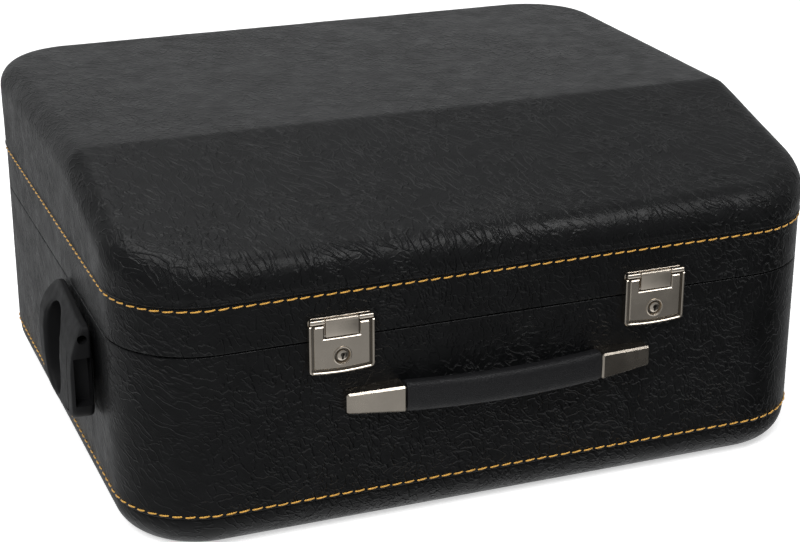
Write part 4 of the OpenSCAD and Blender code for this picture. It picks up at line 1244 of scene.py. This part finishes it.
CARRIED_OVER = {
    "spun_aluminium": ["base_rim", "lid_rim", "platter"],
    "plush": ["base_lining", "lid_lining"],
    "satin_nickel": ["base_hinge_leaves", "lid_hinge_leaves", "base_rear_feet", "lid_rear_feet",
                     "speed_lever", "brake_lever", "tonearm_base", "tonearm", "soundbox",
                     "arm_rest", "needle_cup", "needle_cup_lid"],
    "bright_nickel": ["hinge_pins", "motor_screws"],
    "turned_steel": ["winding_shaft", "motor_pillars", "barrel_arbor", "spindle", "governor_shaft",
                     "mainspring", "shaft_bearing", "governor_brackets"],
    "aged_brass": ["winding_pinion", "barrel_cover", "crown_wheel", "second_wheel",
                   "governor_weights", "lid_stay", "stay_bracket", "stay_stud", "sound_grille"],
    "hammered_grey": ["motor_top_plate", "motor_bottom_plate", "spring_barrel"],
    "black_rubber": ["motor_grommets", "shaft_bush"],
    "leather_cloth": ["motor_board", "lid_cap", "upper_band", "lower_band", "base_tray"],
    "plain_wood": ["board_cleats", "horn"],
    "pressed_fibre": ["worm_wheel"],
    "green_felt": ["platter_mat"],
    "grip_leather": ["handle_grip"],
    "moulded_black": ["winding_handle"],
}


class PHONO_OT_finish_frame(bpy.types.Operator):
    """Gives every node of the frame its own finish"""

    bl_idname = "phono.finish_frame"
    bl_label = "Finish the works"

    def execute(self, context):
        finish_by_node = {node: finish for finish, nodes in CARRIED_OVER.items() for node in nodes}
        for node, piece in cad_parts.items():
            material = finish_of(finish_by_node.get(node, "satin_nickel"))
            piece.data.materials.clear()
            piece.data.materials.append(material)
        return {"FINISHED"}


# ------------------------------------------------------------------ stage


class PHONO_OT_stage(bpy.types.Operator):
    """Plain pale floor, soft studio lights and the camera"""

    bl_idname = "phono.stage"
    bl_label = "Stage"

    def execute(self, context):
        self.floor()
        self.lights()
        self.camera()
        return {"FINISHED"}

    def floor(self):
        mesh = bpy.data.meshes.new("floor")
        reach = 14
        mesh.from_pydata([(-reach, -reach, 0), (reach, -reach, 0), (reach, reach, 0), (-reach, reach, 0)],
                         [], [(0, 1, 2, 3)])
        floor = bpy.data.objects.new("floor", mesh)
        bpy.context.scene.collection.objects.link(floor)
        material = bpy.data.materials.new("floor")
        material.use_nodes = True
        shader = material.node_tree.nodes["Principled BSDF"]
        shader.inputs["Base Color"].default_value = (*colours().floor, 1)
        shader.inputs["Roughness"].default_value = 0.9
        shader.inputs["Specular IOR Level"].default_value = 0.1
        shader.inputs["Emission Color"].default_value = (1, 1, 1, 1)
        shader.inputs["Emission Strength"].default_value = 0.55
        mesh.materials.append(material)
        floor.location.z = -0.1 * MM
        floor.visible_glossy = False
        floor.visible_diffuse = False

    def lights(self):
        """Dim room that is light behind and to the left, with soft lamps above."""
        world = bpy.data.worlds.new("studio")
        world.use_nodes = True
        tree = world.node_tree
        direction = tree.nodes.new("ShaderNodeTexCoord").outputs["Generated"]
        parts = tree.nodes.new("ShaderNodeSeparateXYZ")
        tree.links.new(direction, parts.inputs["Vector"])

        def ramp(value, low, high, at_low, at_high):
            node = tree.nodes.new("ShaderNodeMapRange")
            node.interpolation_type = "SMOOTHSTEP"
            for key, number in (("From Min", low), ("From Max", high),
                                ("To Min", at_low), ("To Max", at_high)):
                node.inputs[key].default_value = number
            tree.links.new(value, node.inputs["Value"])
            return node.outputs["Result"]

        def blend(a, b, factor):
            node = tree.nodes.new("ShaderNodeMix")
            tree.links.new(factor, node.inputs["Factor"])
            for key, value in (("A", a), ("B", b)):
                if isinstance(value, float):
                    node.inputs[key].default_value = value
                else:
                    tree.links.new(value, node.inputs[key])
            return node.outputs["Result"]

        front = ramp(parts.outputs["X"], 0.30, 0.55, 0.34, 0.04)
        below = blend(front, 0.42, ramp(parts.outputs["Y"], -0.35, 0.45, 0.0, 1.0))
        below = blend(0.85, below, ramp(parts.outputs["Z"], -0.80, -0.55, 0.0, 1.0))
        above = ramp(parts.outputs["Y"], 0.2, 0.95, 0.24, 0.48)
        level = blend(below, above, ramp(parts.outputs["Z"], -0.12, 0.10, 0.0, 1.0))
        background = tree.nodes["Background"]
        background.inputs["Color"].default_value = (0.98, 0.99, 1.0, 1)
        tree.links.new(level, background.inputs["Strength"])
        bpy.context.scene.world = world
        # name, place, aim, size, power, seen in reflections
        for name, place, aim, size, power, seen in (
                ("key", (-1.7, -2.2, 2.6), (0, 0, 0.1), (1.6, 1.6), 92, False),
                ("overhead", (-0.3, 0.4, 2.4), (0, 0, 0.1), (1.6, 1.2), 16, True),
                ("edge", (0.9, -1.1, 2.2), (0.9, -0.2, 0.1), (2.0, 0.5), 18, True)):
            light = bpy.data.lights.new(name, "AREA")
            light.shape = "RECTANGLE"
            light.size, light.size_y = size
            light.energy = power
            lamp = bpy.data.objects.new(name, light)
            lamp.location = place
            lamp.visible_glossy = seen
            lamp.rotation_euler = (Vector(aim) - Vector(place)).to_track_quat("-Z", "Y").to_euler()
            bpy.context.scene.collection.objects.link(lamp)

    def camera(self):
        ahead = Vector((0.33947, 0.86433, -0.37108))
        up = Vector((0.13422, 0.34596, 0.92860))
        right = ahead.cross(up).normalized()
        data = bpy.data.cameras.new("camera")
        data.sensor_width = 36
        data.lens = 87.48
        data.shift_x = -0.0087
        data.shift_y = 0.0232
        camera = bpy.data.objects.new("camera", data)
        turn = Matrix((right, right.cross(ahead), -ahead)).transposed().to_4x4()
        camera.matrix_world = Matrix.Translation((-0.4473, -1.1832, 0.5743)) @ turn
        bpy.context.scene.collection.objects.link(camera)
        bpy.context.scene.camera = camera
        bpy.context.scene.view_settings.view_transform = "Standard"


class PHONO_PT_panel(bpy.types.Panel):
    """Sizes, colours and building steps"""

    bl_idname = "PHONO_PT_panel"
    bl_label = "Phonograph"
    bl_space_type = "VIEW_3D"
    bl_region_type = "UI"
    bl_category = "Phonograph"

    def draw(self, context):
        layout = self.layout
        for group in (context.scene.phono_case, context.scene.phono_colours):
            box = layout.box()
            for key in group.__annotations__:
                box.prop(group, key)
        for operator in STEPS:
            layout.operator(operator.bl_idname)


STEPS = (
    PHONO_OT_stage, PHONO_OT_finish_frame, PHONO_OT_lid_cover, PHONO_OT_bands,
    PHONO_OT_tray_cover, PHONO_OT_stitching, PHONO_OT_latches, PHONO_OT_handle,
    PHONO_OT_winding_handle,
)
CLASSES = (PHONO_PG_case, PHONO_PG_colours, *STEPS, PHONO_PT_panel)


def register():
    for cls in CLASSES:
        bpy.utils.register_class(cls)
    bpy.types.Scene.phono_case = bpy.props.PointerProperty(type=PHONO_PG_case)
    bpy.types.Scene.phono_colours = bpy.props.PointerProperty(type=PHONO_PG_colours)


def unregister():
    del bpy.types.Scene.phono_colours
    del bpy.types.Scene.phono_case
    for cls in reversed(CLASSES):
        bpy.utils.unregister_class(cls)


def main():
    register()
    bpy.ops.phono.stage()
    bpy.ops.phono.finish_frame()
    bpy.ops.phono.lid_cover()
    bpy.ops.phono.bands()
    bpy.ops.phono.tray_cover()
    bpy.ops.phono.stitching()
    bpy.ops.phono.latches()
    bpy.ops.phono.handle()
    bpy.ops.phono.winding_handle()


if __name__ == "__main__":
    main()
